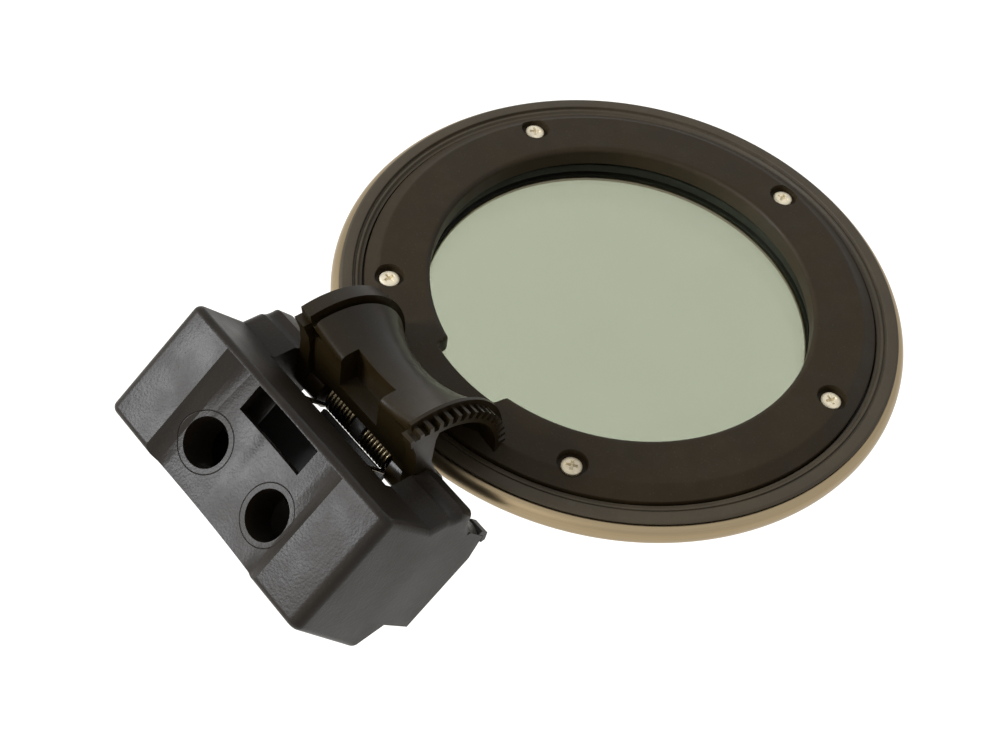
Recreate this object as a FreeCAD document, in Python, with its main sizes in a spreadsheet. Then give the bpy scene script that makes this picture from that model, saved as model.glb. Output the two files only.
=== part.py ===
import FreeCAD, Part
import math
import os
import Sketcher
from FreeCAD import Placement, Rotation, Vector

# Round hinged lid with a double-glazed viewing window, lying on its outer face.
# Frame: origin at the centre of the lid's outer face, +Z along the lid's axis towards its
# underside, +X along the hinge axis, the hinge on the -Y side.  Millimetres and degrees.

doc = FreeCAD.newDocument("hinged_window_lid")
sheet = doc.addObject("Spreadsheet::Sheet", "Dims")

SIZES = {
    # lid stack, heights above the outer face
    "lid_depth": 18.0, "frame_rise": 2.5, "trim_wall": 1.2, "glass_thick": 3.5, "seal_thick": 0.8,
    "pane_gap": 3.5, "glass_play": 0.6, "seal_width": 5.5,
    # the window opening and the widths that follow it outwards
    "opening_radius": 68.5, "outer_opening_step": 1.0, "glass_overlap": 7.5, "screw_inset": 6.6,
    "frame_top_step": 3.7, "bevel_width": 5.0, "gasket_play": 0.5, "gasket_width": 6.7, "lip_play": 1.4,
    "trim_bulge": 2.9, "trim_foot_width": 8.5, "pivot_gap": 9.7, "carrier_flare": 4.5, "flare_drop": 5.6,
    "trim_lip_drop": 0.5, "shoulder_drop": 7.2, "shoulder_inset": 1.0, "frame_edge_drop": 0.6,
    "gasket_height": 5.0, "gasket_groove": 0.8, "rim_round": 1.6,
    # notch in the window opening, towards the hinge
    "notch_depth": 5.0, "notch_half_angle": 12.5,
    # frame screws
    "screw_count": 5.0, "screw_head_radius": 3.5, "screw_head_height": 2.0,
    "screw_radius": 1.75, "screw_length": 13.0, "counterbore_radius": 5.2, "head_sink": 1.3,
    "screw_play": 0.35, "boss_radius": 4.6, "cross_width": 0.8, "cross_length": 3.8, "cross_depth": 1.2,
    # hinge axis
    "pivot_rise": 2.0, "pin_radius": 2.0, "pin_length": 90.0, "fit_play": 0.05,
    # hinge arm
    "arm_half_width": 30.0, "flange_width": 5.0, "flange_radius": 34.3, "rim_width": 1.2,
    "saddle_depth": 8.3, "saddle_sweep_radius": 46.0, "saddle_wall": 2.7, "flange_depth": 6.0,
    "groove_width": 1.8, "groove_depth": 4.5, "arch_start": -4.0, "arch_end": 100.0, "nose_round": 2.6,
    "leg_front": 5.5, "leg_back": 0.9, "tooth_drop": 1.8, "tooth_height": 2.8, "tooth_pitch": 6.6667, "tooth_count": 16.0,
    "tooth_first": 4.5, "tooth_thick": 1.7, "web_front": 4.2, "web_back": 1.6, "hub_radius": 7.0,
    "hub_inner_x": 18.0, "web_foot": 7.6, "pocket_left": 10.5, "pocket_right": 8.8, "pocket_depth": 6.6,
    "pocket_floor": 13.5, "pocket_wall": 2.2, "bush_wall": 1.3, "bush_gap": 0.1,
    # springs on the hinge pin
    "spool_radius": 3.2, "spool_flange_radius": 5.4, "spool_flange_half": 2.6, "spool_half_length": 17.6,
    "wire_radius": 0.7, "coil_radius": 4.8, "coil_pitch": 1.6, "coil_count": 8.0, "coil_start": 3.6,
    "leg_length": 26.5,
    # mounting housing, measured from the hinge axis in its own tilted frame
    "housing_tilt": 41.3, "housing_width": 100.0, "housing_top": 1.5, "housing_face": 46.2,
    "housing_base": 44.9, "housing_heel": 49.5, "heel_level": 6.8, "step_inset": 38.7, "housing_back": 15.1,
    "back_top": 8.1, "nose_level": 11.5, "nose_reach": 1.0, "housing_wall": 2.5, "front_wall": 7.8,
    "well_edge": 24.2, "well_play": 0.4, "cheek_thick": 3.2, "hump_radius": 7.4, "fairing_reach": 21.0,
    "face_round": 4.0, "top_round": 2.4, "recess_half_width": 29.5, "recess_floor_half": 24.5,
    "recess_edge_depth": 3.6, "recess_depth": 5.0, "recess_top_rim": 2.2, "hole_spacing": 32.6,
    "hole_drop": 29.9, "hole_radius": 8.0, "hole_rim_radius": 9.9, "collar_wall": 2.2, "collar_depth": 12.0,
    "slot_half_width": 15.0, "slot_top": 5.2, "slot_height": 9.7,
    # rear cover of the housing
    "cover_thick": 2.4, "cover_play": 0.2, "cover_rail": 8.1, "cover_side_width": 12.5, "cover_side_top": 26.0,
    "tray_half_width": 29.7, "tray_level": 1.0, "tray_thick": 2.0, "tray_wall": 1.2, "tray_edge": 9.0,
    "tongue_edge": 5.8, "tongue_left": 15.0, "tongue_right": 17.0, "cheek_reach": 29.0, "cheek_foot": 3.0,
    "post_radius": 3.5, "post_spread": 28.0, "post_length": 14.0, "post_inset": 3.3, "cover_screw_radius": 1.4,
    "cover_screw_length": 9.0, "cover_head_radius": 2.6, "cover_head_height": 1.4,
    "clip_width": 6.0, "clip_thick": 1.6, "clip_height": 9.0, "clip_hook": 3.4,
}


class Size:
    """A length that knows both its value and the sheet expression it comes from."""

    def __init__(self, value, text):
        self.value, self.text = float(value), text

    def _join(self, other, sign, value, swap=False):
        a, b = self.text, other.text if isinstance(other, Size) else repr(float(other))
        return Size(value, "(%s %s %s)" % ((b, sign, a) if swap else (a, sign, b)))

    def __add__(self, other):
        return self._join(other, "+", self.value + number(other))

    __radd__ = __add__

    def __sub__(self, other):
        return self._join(other, "-", self.value - number(other))

    def __rsub__(self, other):
        return self._join(other, "-", number(other) - self.value, swap=True)

    def __mul__(self, other):
        return self._join(other, "*", self.value * number(other))

    __rmul__ = __mul__

    def __truediv__(self, other):
        return self._join(other, "/", self.value / number(other))

    def __neg__(self):
        return Size(-self.value, "(0 - %s)" % self.text)


def number(size):
    return size.value if isinstance(size, Size) else float(size)


class Dims:
    pass


def fill_sheet():
    """One row for each driving size: its name, its value and its alias."""
    dims = Dims()
    for row, (name, value) in enumerate(SIZES.items(), start=1):
        sheet.set("A%d" % row, name)
        sheet.set("B%d" % row, repr(value))
        sheet.setAlias("B%d" % row, name)
        setattr(dims, name, Size(value, "Dims.%s" % name))
    doc.recompute()
    return dims


d = fill_sheet()

# radii of the lid, outwards from the window opening
d.outer_opening_radius = d.opening_radius + d.outer_opening_step
d.notch_radius = d.opening_radius + d.notch_depth
d.glass_radius = d.opening_radius + d.glass_overlap
d.screw_circle_radius = d.glass_radius + d.screw_inset
d.frame_top_radius = d.screw_circle_radius + d.frame_top_step
d.frame_edge_radius = d.frame_top_radius + d.bevel_width
d.gasket_inner_radius = d.frame_edge_radius + d.gasket_play
d.gasket_outer_radius = d.gasket_inner_radius + d.gasket_width
d.trim_lip_radius = d.gasket_outer_radius + d.lip_play
d.trim_radius = d.trim_lip_radius + d.trim_bulge
d.trim_foot_radius = d.outer_opening_radius + d.trim_foot_width
d.pivot_reach = d.trim_radius + d.pivot_gap

# radii of the hinge arm, inwards from its flanges
d.saddle_radius = d.flange_radius - d.saddle_depth
d.flange_inner_radius = d.flange_radius - d.flange_depth
d.groove_floor_radius = d.flange_radius - d.groove_depth
d.tooth_tip_radius = d.flange_radius - d.tooth_drop
d.tooth_root_radius = d.tooth_tip_radius - d.tooth_height

# heights of the lid's layers above its outer face
outer_glass_z = d.trim_wall + d.seal_thick
spacer_z = outer_glass_z + d.glass_thick
inner_glass_z = spacer_z + d.pane_gap
inner_seal_z = inner_glass_z + d.glass_thick
frame_z = inner_seal_z + d.seal_thick
frame_top_z = d.lid_depth + d.frame_rise
gasket_z = d.lid_depth - d.gasket_height
pivot_z = d.lid_depth + d.pivot_rise
screw_floor_z = frame_top_z - d.head_sink - d.screw_head_height

LID = Placement()
ARM = Placement(Vector(0, -number(d.pivot_reach), number(pivot_z)), Rotation())
HOUSING = Placement(ARM.Base, Rotation(Vector(1, 0, 0), number(d.housing_tilt)))
X_AXIS, Y_AXIS, Z_AXIS = Vector(1, 0, 0), Vector(0, 1, 0), Vector(0, 0, 1)
SCREW_ANGLES = [90 + 360 / number(d.screw_count) * i for i in range(int(number(d.screw_count)))]


# ---------------------------------------------------------------- helpers
def new_body(label, placement=LID):
    body = doc.addObject("PartDesign::Body", label)
    body.Label = label
    body.Placement = placement
    return body


def new_sketch(body, plane, offset=0, turn=0):
    """A sketch on one of the body's origin planes, moved along its normal or turned about X."""
    sketch = body.newObject("Sketcher::SketchObject", body.Name + "_sketch")
    origin = [f for f in body.Origin.OriginFeatures if f.Role == plane][0]
    sketch.AttachmentSupport = [(origin, "")]
    sketch.MapMode = "FlatFace"
    sketch.AttachmentOffset = Placement(Vector(0, 0, number(offset)), Rotation(X_AXIS, number(turn)))
    if isinstance(offset, Size):
        sketch.setExpression(".AttachmentOffset.Base.z", offset.text)
    if isinstance(turn, Size):
        sketch.setExpression(".AttachmentOffset.Rotation.Angle", turn.text)
    return sketch


def pin_point(sketch, geo, pos, point):
    """Hold one end of a line or arc at a point whose coordinates are sizes."""
    for kind, size in zip(("DistanceX", "DistanceY"), point):
        index = sketch.addConstraint(Sketcher.Constraint(kind, -1, 1, geo, pos, number(size)))
        if isinstance(size, Size):
            sketch.setExpression("Constraints[%d]" % index, size.text)


def outline(sketch, points, arcs=None):
    """A closed outline; arcs maps the index of a side to its radius, positive when it bulges
    to the right of the direction of travel."""
    arcs = arcs or {}
    count = len(points)
    flat = [Vector(number(p[0]), number(p[1]), 0) for p in points]
    sides = []
    for i in range(count):
        a, b = flat[i], flat[(i + 1) % count]
        if i in arcs:
            radius = abs(number(arcs[i]))
            half = (b - a) * 0.5
            bulge = 1 if number(arcs[i]) > 0 else -1
            out = Vector(half.y, -half.x, 0).normalize() * bulge
            centre = a + half - out * math.sqrt(max(radius ** 2 - half.Length ** 2, 0.0))
            first, last = (a, b) if bulge > 0 else (b, a)
            angles = [math.atan2(p.y - centre.y, p.x - centre.x) for p in (first, last)]
            arc = Part.ArcOfCircle(Part.Circle(centre, Z_AXIS, radius), *angles)
            sides.append(sketch.addGeometry(arc, False))
            ends = (1, 2) if bulge > 0 else (2, 1)
            pin_point(sketch, sides[-1], ends[0], points[i])
            pin_point(sketch, sides[-1], ends[1], points[(i + 1) % count])
            index = sketch.addConstraint(Sketcher.Constraint("Radius", sides[-1], radius))
            size = arcs[i] if number(arcs[i]) > 0 else -arcs[i]
            if isinstance(size, Size):
                sketch.setExpression("Constraints[%d]" % index, size.text)
        else:
            sides.append(sketch.addGeometry(Part.LineSegment(a, b), False))
            pin_point(sketch, sides[-1], 1, points[i])
            pin_point(sketch, sides[-1], 2, points[(i + 1) % count])
    return sketch


def circle(sketch, centre, radius):
    geo = sketch.addGeometry(Part.Circle(Vector(number(centre[0]), number(centre[1]), 0), Z_AXIS,
                                         number(radius)), False)
    pin_point(sketch, geo, 3, centre)
    index = sketch.addConstraint(Sketcher.Constraint("Radius", geo, number(radius)))
    if isinstance(radius, Size):
        sketch.setExpression("Constraints[%d]" % index, radius.text)
    return sketch


def bind(feature, prop, size):
    setattr(feature, prop, number(size))
    if isinstance(size, Size):
        feature.setExpression(prop, size.text)


def pad(body, sketch, length, midplane=False, cut=False, flip=False):
    """Extrude a sketch along its normal, adding to the body or cutting it."""
    feature = body.newObject("PartDesign::Pocket" if cut else "PartDesign::Pad", body.Name + "_pad")
    feature.Profile = sketch
    bind(feature, "Length", length)
    if midplane:
        feature.Midplane = True
    feature.Reversed = flip
    sketch.Visibility = False
    body.Tip = feature
    doc.recompute()
    return feature


def spin(body, sketch, angle=360.0, cut=False, axis="V_Axis", midplane=False):
    kind = "PartDesign::Groove" if cut else "PartDesign::Revolution"
    feature = body.newObject(kind, body.Name + "_spin")
    feature.Profile = sketch
    feature.ReferenceAxis = (sketch, [axis])
    bind(feature, "Angle", angle)
    feature.Midplane = midplane
    body.Tip = feature
    doc.recompute()
    return feature


def turned(label, points, arcs=None, placement=LID):
    """A ring or disc turned about the lid's axis from a section in radius and height."""
    body = new_body(label, placement)
    spin(body, outline(new_sketch(body, "XZ_Plane"), points, arcs))
    return body


def ring(label, inner, outer, low, high):
    return turned(label, [(inner, low), (outer, low), (outer, high), (inner, high)])


def polar(body, feature, axis_role, count, angle):
    pattern = body.newObject("PartDesign::PolarPattern", body.Name + "_pattern")
    pattern.Originals = [feature]
    axis = [f for f in body.Origin.OriginFeatures if f.Role == axis_role][0]
    pattern.Axis = (axis, [""])
    pattern.Angle = angle
    pattern.Occurrences = int(number(count))
    body.Tip = pattern
    doc.recompute()
    return pattern


def round_edges(body, radius, wanted, kind="Fillet"):
    """Fillet or chamfer the edges of the body's tip that wanted(edge) picks."""
    base = body.Tip
    names = ["Edge%d" % (i + 1) for i, edge in enumerate(base.Shape.Edges) if wanted(edge)]
    feature = body.newObject("PartDesign::" + kind, body.Name + "_" + kind.lower())
    feature.Base = (base, names)
    bind(feature, "Radius" if kind == "Fillet" else "Size", radius)
    body.Tip = feature
    doc.recompute()
    return feature


def cylinder(label, radius, length, start, direction, placement):
    """A Part cylinder of a frame's own, along a direction of that frame."""
    rod = doc.addObject("Part::Cylinder", label)
    rod.Label = label
    bind(rod, "Radius", radius)
    bind(rod, "Height", length)
    local = Placement(Vector(*[number(c) for c in start]), Rotation(Z_AXIS, direction))
    rod.Placement = placement.multiply(local)
    return rod


def boolean(kind, label, base, *tools):
    name = "Part::MultiFuse" if kind == "fuse" else "Part::Cut"
    result = doc.addObject(name, label)
    result.Label = label
    if kind == "fuse":
        result.Shapes = [base] + list(tools)
    else:
        result.Base, result.Tool = base, tools[0]
    doc.recompute()
    return result


# ---------------------------------------------------------------- lid: trim, glass and seals
def build_trim():
    """Bowl-shaped steel trim: flat resting face, domed side and a rolled lip at the gasket."""
    wall = d.trim_wall
    shoulder = (d.trim_radius - d.shoulder_inset, d.lid_depth - d.shoulder_drop)
    lip = d.lid_depth - d.trim_lip_drop
    points = [(d.outer_opening_radius, 0), (d.trim_foot_radius, 0), shoulder, (d.trim_lip_radius, lip),
              (d.trim_lip_radius - wall, lip - 0.4), (shoulder[0] - wall, shoulder[1] + 0.4),
              (d.trim_foot_radius - 0.4, wall), (d.outer_opening_radius, wall)]
    return turned("trim_ring", points, {1: Size(60, "60"), 2: Size(4.2, "4.2"), 4: Size(-3.5, "-3.5"),
                                         5: Size(-58.8, "-58.8")})


def build_panes():
    inner_edge = d.glass_radius - d.seal_width
    ring("outer_glass_seal", inner_edge, d.glass_radius, d.trim_wall, outer_glass_z)
    for label, low in (("outer_glass", outer_glass_z), ("inner_glass", inner_glass_z)):
        body = new_body(label)
        pad(body, circle(new_sketch(body, "XY_Plane", offset=low), (0, 0), d.glass_radius), d.glass_thick)
        round_edges(body, 0.4, lambda edge: True, "Chamfer")
    ring("pane_spacer", inner_edge, d.glass_radius, spacer_z, inner_glass_z)
    ring("inner_glass_seal", inner_edge, d.glass_radius, inner_seal_z, frame_z)


def build_carrier():
    """Moulded ring inside the trim: holds the panes, the gasket and the screw bosses."""
    inner = d.glass_radius + d.glass_play
    body = turned("lid_carrier", [
        (inner, d.trim_wall + 0.3), (d.trim_foot_radius, d.trim_wall + 0.3),
        (d.gasket_outer_radius - d.carrier_flare, gasket_z - d.flare_drop),
        (d.gasket_outer_radius, gasket_z - d.flare_drop / 4),
        (d.gasket_outer_radius, gasket_z), (d.frame_edge_radius - 1.0, gasket_z),
        (d.frame_edge_radius - 1.0, frame_z), (inner, frame_z)])
    trough_low = d.trim_wall + 3.4
    spin(body, outline(new_sketch(body, "XZ_Plane"), [
        (inner + 2.2, trough_low), (d.frame_edge_radius - 3.4, trough_low + 3.0),
        (d.frame_edge_radius - 3.4, frame_z + 1.0), (inner + 2.2, frame_z + 1.0)]), cut=True)
    post = pad(body, circle(new_sketch(body, "XY_Plane", offset=trough_low - 0.5),
                            (0, d.screw_circle_radius), d.boss_radius), frame_z - trough_low + 0.5)
    polar(body, post, "Z_Axis", d.screw_count, 360.0)
    hole = pad(body, circle(new_sketch(body, "XY_Plane", offset=frame_z), (0, d.screw_circle_radius),
                            d.screw_radius + d.fit_play), screw_depth + 0.5, cut=True)
    polar(body, hole, "Z_Axis", d.screw_count, 360.0)
    return body


screw_depth = d.screw_length - (screw_floor_z - frame_z)


def build_frame():
    """Black window frame: flat top, textured bevel, rounded inner edge and a notch at the hinge."""
    corner = d.rim_round
    body = turned("window_frame", [
        (d.opening_radius, frame_z), (d.frame_edge_radius, frame_z),
        (d.frame_edge_radius, d.lid_depth - d.frame_edge_drop), (d.frame_top_radius, frame_top_z),
        (d.opening_radius + corner, frame_top_z), (d.opening_radius, frame_top_z - corner)],
        {4: corner})
    half = math.radians(number(d.notch_half_angle))
    reach, deep = number(d.notch_radius), number(d.opening_radius) - 6
    notch = [(-reach * math.sin(half), -reach * math.cos(half)), (-deep * math.sin(half * 1.25), -deep),
             (deep * math.sin(half * 1.25), -deep), (reach * math.sin(half), -reach * math.cos(half))]
    sketch = outline(new_sketch(body, "XY_Plane", offset=frame_top_z + 1), notch, {3: -d.notch_radius})
    pad(body, sketch, frame_top_z - frame_z + 2, cut=True)
    sink = pad(body, circle(new_sketch(body, "XY_Plane", offset=frame_top_z), (0, d.screw_circle_radius),
                            d.counterbore_radius), d.head_sink + d.screw_head_height, cut=True)
    polar(body, sink, "Z_Axis", d.screw_count, 360.0)
    hole = pad(body, circle(new_sketch(body, "XY_Plane", offset=frame_top_z), (0, d.screw_circle_radius),
                            d.screw_radius + d.screw_play), frame_top_z - frame_z + 1, cut=True)
    polar(body, hole, "Z_Axis", d.screw_count, 360.0)
    return body


def build_gasket():
    """Flat-topped rubber band in the carrier's seat, with a shallow groove near its inner edge."""
    low, high, groove = gasket_z, d.lid_depth, d.gasket_groove
    inner, outer = d.gasket_inner_radius, d.gasket_outer_radius
    return turned("lid_gasket", [
        (inner, low), (outer - 0.6, low), (outer - 0.6, high - 2.4), (outer, high - 1.0), (outer - 0.5, high),
        (inner + 1.6, high), (inner + 1.2, high - groove), (inner + 0.5, high - groove), (inner, high - 1.6)])


def cross_screw(head_radius, head_height, radius, length, slot_width, slot_length, slot_depth):
    """A pan-head screw along +Z, seated at z = 0, with a cross recess in its domed head."""
    head = Part.makeCylinder(head_radius, head_height * 0.55)
    dome_radius = (head_radius ** 2 + (head_height * 0.45) ** 2) / (2 * head_height * 0.45)
    dome = Part.makeSphere(dome_radius, Vector(0, 0, head_height - dome_radius))
    cap = Part.makeCylinder(head_radius, head_height * 0.45 + 0.01, Vector(0, 0, head_height * 0.55 - 0.01))
    head = head.fuse(cap.common(dome))
    shank = Part.makeCylinder(radius, length - radius, Vector(0, 0, radius - length))
    tip = Part.makeCone(radius * 0.3, radius, radius, Vector(0, 0, -length))
    screw = head.fuse(shank).fuse(tip)
    for size_x, size_y in ((slot_length, slot_width), (slot_width, slot_length)):
        slot = Part.makeBox(size_x, size_y, slot_depth * 2,
                            Vector(-size_x / 2, -size_y / 2, head_height - slot_depth))
        screw = screw.cut(slot)
    return screw.removeSplitter()


def screw_group(label, screw, places, placement=LID):
    """A node of identical screws, one at each place of a frame."""
    group = doc.addObject("Part::Feature", label)
    group.Label = label
    copies = []
    for place in places:
        copy = screw.copy()
        copy.Placement = placement.multiply(place)
        copies.append(copy)
    group.Shape = Part.makeCompound(copies)
    return group


def build_frame_screws():
    screw = cross_screw(number(d.screw_head_radius), number(d.screw_head_height), number(d.screw_radius),
                        number(d.screw_length), number(d.cross_width), number(d.cross_length),
                        number(d.cross_depth))
    places = []
    for i, angle in enumerate(SCREW_ANGLES):
        at = Rotation(Z_AXIS, angle).multVec(Vector(number(d.screw_circle_radius), 0, number(screw_floor_z)))
        places.append(Placement(at, Rotation(Z_AXIS, angle + 17 * i)))
    return screw_group("frame_screws", screw, places)


# ---------------------------------------------------------------- hinge arm
def saddle_drop(x, sweep):
    """How far a circle of radius sweep has left its tangent at a distance x."""
    return sweep - math.sqrt(sweep ** 2 - x ** 2)


def build_arm():
    """Arched arm: waisted shell with a plain flange and a toothed flange, legs, web and hubs."""
    half, flange = number(d.arm_half_width), number(d.flange_width)
    left_edge = -(half - flange - number(d.groove_width))
    right_edge = half - flange - 0.2
    sweep, wall = number(d.saddle_sweep_radius), number(d.saddle_wall)
    left_top = d.saddle_radius + saddle_drop(left_edge, sweep)
    right_top = d.saddle_radius + min(saddle_drop(right_edge, sweep), number(d.saddle_depth) - 0.4)
    inner_rise = number(d.saddle_depth - d.flange_depth) + wall
    inner_x = math.sqrt((sweep + wall) ** 2 - (sweep + wall - inner_rise) ** 2)
    body = new_body("arm_body", ARM)
    middle = (d.arch_start + d.arch_end) / 2
    tooth_side = d.arm_half_width - d.flange_width + d.rim_width
    sketch = outline(new_sketch(body, "XY_Plane", turn=middle), [
        (-d.arm_half_width, d.flange_inner_radius), (-d.arm_half_width, d.flange_radius),
        (-d.arm_half_width + d.flange_width, d.flange_radius),
        (-d.arm_half_width + d.flange_width, d.groove_floor_radius),
        (left_edge, d.groove_floor_radius), (left_edge, left_top), (right_edge, right_top),
        (d.arm_half_width - d.flange_width, d.flange_radius), (tooth_side, d.flange_radius),
        (tooth_side, d.tooth_root_radius), (d.arm_half_width, d.tooth_root_radius),
        (d.arm_half_width, d.flange_inner_radius), (inner_x, d.flange_inner_radius),
        (-inner_x, d.flange_inner_radius)],
        {5: d.saddle_sweep_radius, 12: -(d.saddle_sweep_radius + d.saddle_wall)})
    spin(body, sketch, d.arch_end - d.arch_start, axis="H_Axis", midplane=True)
    round_edges(body, d.nose_round, is_nose_edge)
    tooth_half = d.tooth_thick / 2
    first = math.radians(number(d.tooth_first))
    tooth = new_sketch(body, "YZ_Plane", offset=tooth_side - 0.3)
    outline(tooth, [tooth_point(first, number(d.tooth_root_radius) - 0.6, -number(tooth_half) * 1.15),
                    tooth_point(first, number(d.tooth_tip_radius), -number(tooth_half) * 0.8),
                    tooth_point(first, number(d.tooth_tip_radius), number(tooth_half) * 0.8),
                    tooth_point(first, number(d.tooth_root_radius) - 0.6, number(tooth_half) * 1.15)])
    rib = pad(body, tooth, d.arm_half_width - tooth_side + 0.3)
    polar(body, rib, "X_Axis", d.tooth_count, number(d.tooth_pitch) * (number(d.tooth_count) - 1))
    tall, front, rear = d.flange_radius, d.leg_front, d.leg_back
    for start in (-d.arm_half_width, d.arm_half_width - d.flange_width):
        leg = outline(new_sketch(body, "YZ_Plane", offset=start), [
            (-d.hub_radius + 0.3, 1.0), (-front - 0.4, tall * 0.38), (-front, tall * 0.525),
            (-front - 0.7, tall * 0.7), (-front - 2.9, tall * 0.892), (-front + 1.5, tall * 0.892),
            (rear + 2.1, tall * 0.863), (rear + 0.5, tall * 0.729), (rear, tall * 0.437),
            (rear + 2.5, tall * 0.233), (d.hub_radius - 0.4, 1.5), (0.0, -2.5)])
        pad(body, leg, d.flange_width)
    web = outline(new_sketch(body, "YZ_Plane"), [
        (-d.web_front, d.web_foot), (d.web_back, d.web_foot), (d.web_back, d.saddle_radius - 1.0),
        (-d.web_front, d.saddle_radius - 1.6)])
    pad(body, web, d.arm_half_width * 2 - 2.0, midplane=True)
    box_back = -d.web_front + d.pocket_depth + d.pocket_wall
    box = outline(new_sketch(body, "YZ_Plane", offset=-d.pocket_left - d.pocket_wall), [
        (-d.web_front, d.pocket_floor - d.pocket_wall), (box_back, d.pocket_floor - d.pocket_wall),
        (box_back, d.saddle_radius - 1.6), (-d.web_front, d.saddle_radius - 1.6)])
    pad(body, box, d.pocket_left + d.pocket_right + d.pocket_wall * 2)
    for start in (-d.arm_half_width, d.hub_inner_x):
        pad(body, circle(new_sketch(body, "YZ_Plane", offset=start), (0, 0), d.hub_radius),
            d.arm_half_width - d.hub_inner_x)
        rib = outline(new_sketch(body, "YZ_Plane", offset=start), [
            (-d.web_front, 0.0), (d.web_back, 0.0), (d.web_back, d.web_foot + 0.5),
            (-d.web_front, d.web_foot + 0.5)])
        pad(body, rib, d.arm_half_width - d.hub_inner_x)
    notch = outline(new_sketch(body, "YZ_Plane", offset=-d.pocket_left), [
        (-d.web_front - 8.0, d.pocket_floor), (-d.web_front + d.pocket_depth, d.pocket_floor),
        (-d.web_front + d.pocket_depth, d.flange_radius + 3.0), (-d.web_front - 8.0, d.flange_radius + 3.0)])
    pad(body, notch, d.pocket_left + d.pocket_right, cut=True, flip=True)
    bore = circle(new_sketch(body, "YZ_Plane", offset=-d.arm_half_width - 1.0), (0, 0), bush_radius)
    pad(body, bore, d.arm_half_width * 2 + 2.0, cut=True, flip=True)
    top = doc.addObject("Part::Cylinder", "frame_top_tool")
    bind(top, "Radius", d.frame_top_radius)
    bind(top, "Height", frame_top_z)
    bevel = doc.addObject("Part::Cone", "frame_bevel_tool")
    bind(bevel, "Radius1", d.frame_edge_radius)
    bind(bevel, "Radius2", d.frame_top_radius)
    bind(bevel, "Height", d.frame_rise + d.frame_edge_drop)
    bevel.Placement.Base = Vector(0, 0, number(d.lid_depth - d.frame_edge_drop))
    skirt = doc.addObject("Part::Cylinder", "frame_skirt_tool")
    bind(skirt, "Radius", d.frame_edge_radius)
    bind(skirt, "Height", d.lid_depth - d.frame_edge_drop)
    return boolean("cut", "hinge_arm", body, boolean("fuse", "frame_envelope", top, bevel, skirt))


bush_radius = d.pin_radius + d.fit_play + d.bush_wall


def tooth_point(angle, radius, side):
    """A point at a radius from the hinge axis, set off sideways from the tooth's middle line."""
    return (radius * math.cos(angle) - side * math.sin(angle), radius * math.sin(angle) + side * math.cos(angle))


def is_nose_edge(edge):
    """The curved edge where the waisted shell ends at the housing's side."""
    if len(edge.Vertexes) != 2:
        return False
    box = edge.BoundBox
    centre = box.Center
    angle = math.degrees(math.atan2(centre.z, centre.y))
    return (abs(angle - number(d.arch_end)) < 4 and box.XLength > 30
            and math.hypot(centre.y, centre.z) > number(d.saddle_radius) + 1.2)


def build_bushes():
    for label, start in (("hinge_bush_left", -d.arm_half_width - d.bush_gap),
                         ("hinge_bush_right", d.hub_inner_x - d.bush_gap)):
        body = new_body(label, ARM)
        length = d.arm_half_width - d.hub_inner_x + d.bush_gap * 2
        pad(body, circle(new_sketch(body, "YZ_Plane", offset=start), (0, 0), bush_radius), length)
        pad(body, circle(new_sketch(body, "YZ_Plane", offset=start), (0, 0), d.pin_radius + d.fit_play),
            length, cut=True, flip=True)


# ---------------------------------------------------------------- pin, spool and springs
def build_pin_and_spool():
    cylinder("hinge_pin", d.pin_radius, d.pin_length, (-d.pin_length / 2, 0, 0), X_AXIS, HOUSING)
    body = new_body("spring_spool", HOUSING)
    for radius, half in ((d.spool_radius, d.spool_half_length), (d.spool_flange_radius, d.spool_flange_half)):
        pad(body, circle(new_sketch(body, "YZ_Plane"), (0, 0), radius), half * 2, midplane=True)
    pad(body, circle(new_sketch(body, "YZ_Plane"), (0, 0), d.pin_radius + d.fit_play),
        d.spool_half_length * 2 + 2, midplane=True, cut=True)


def build_spring(label, side):
    """A torsion spring beside the spool's flange; its leg runs to the edge of the hinge well."""
    coil = doc.addObject("Part::Helix", label + "_path")
    bind(coil, "Pitch", d.coil_pitch)
    bind(coil, "Height", d.coil_pitch * d.coil_count)
    bind(coil, "Radius", d.coil_radius)
    coil.LocalCoord = "Left-handed" if side > 0 else "Right-handed"
    section = doc.addObject("Part::Circle", label + "_wire")
    bind(section, "Radius", d.wire_radius)
    section.Placement = Placement(Vector(number(d.coil_radius), 0, 0), Rotation(X_AXIS, 90))
    doc.recompute()
    sweep = doc.addObject("Part::Sweep", label + "_coil")
    sweep.Sections, sweep.Spine, sweep.Solid, sweep.Frenet = [section], (coil, []), True, True
    outer_end = number(d.coil_start + d.coil_pitch * d.coil_count)
    start = number(d.coil_start) if side > 0 else -outer_end
    turn = Rotation(Vector(0, -1, 0), Vector(0, 0, -1), X_AXIS, "ZXY")
    sweep.Placement = HOUSING.multiply(Placement(Vector(start, 0, 0), turn))
    leg = cylinder(label + "_leg", d.wire_radius, d.leg_length, (side * outer_end, -d.coil_radius, 0), Z_AXIS,
                   HOUSING)
    return boolean("fuse", label, sweep, leg)


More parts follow.
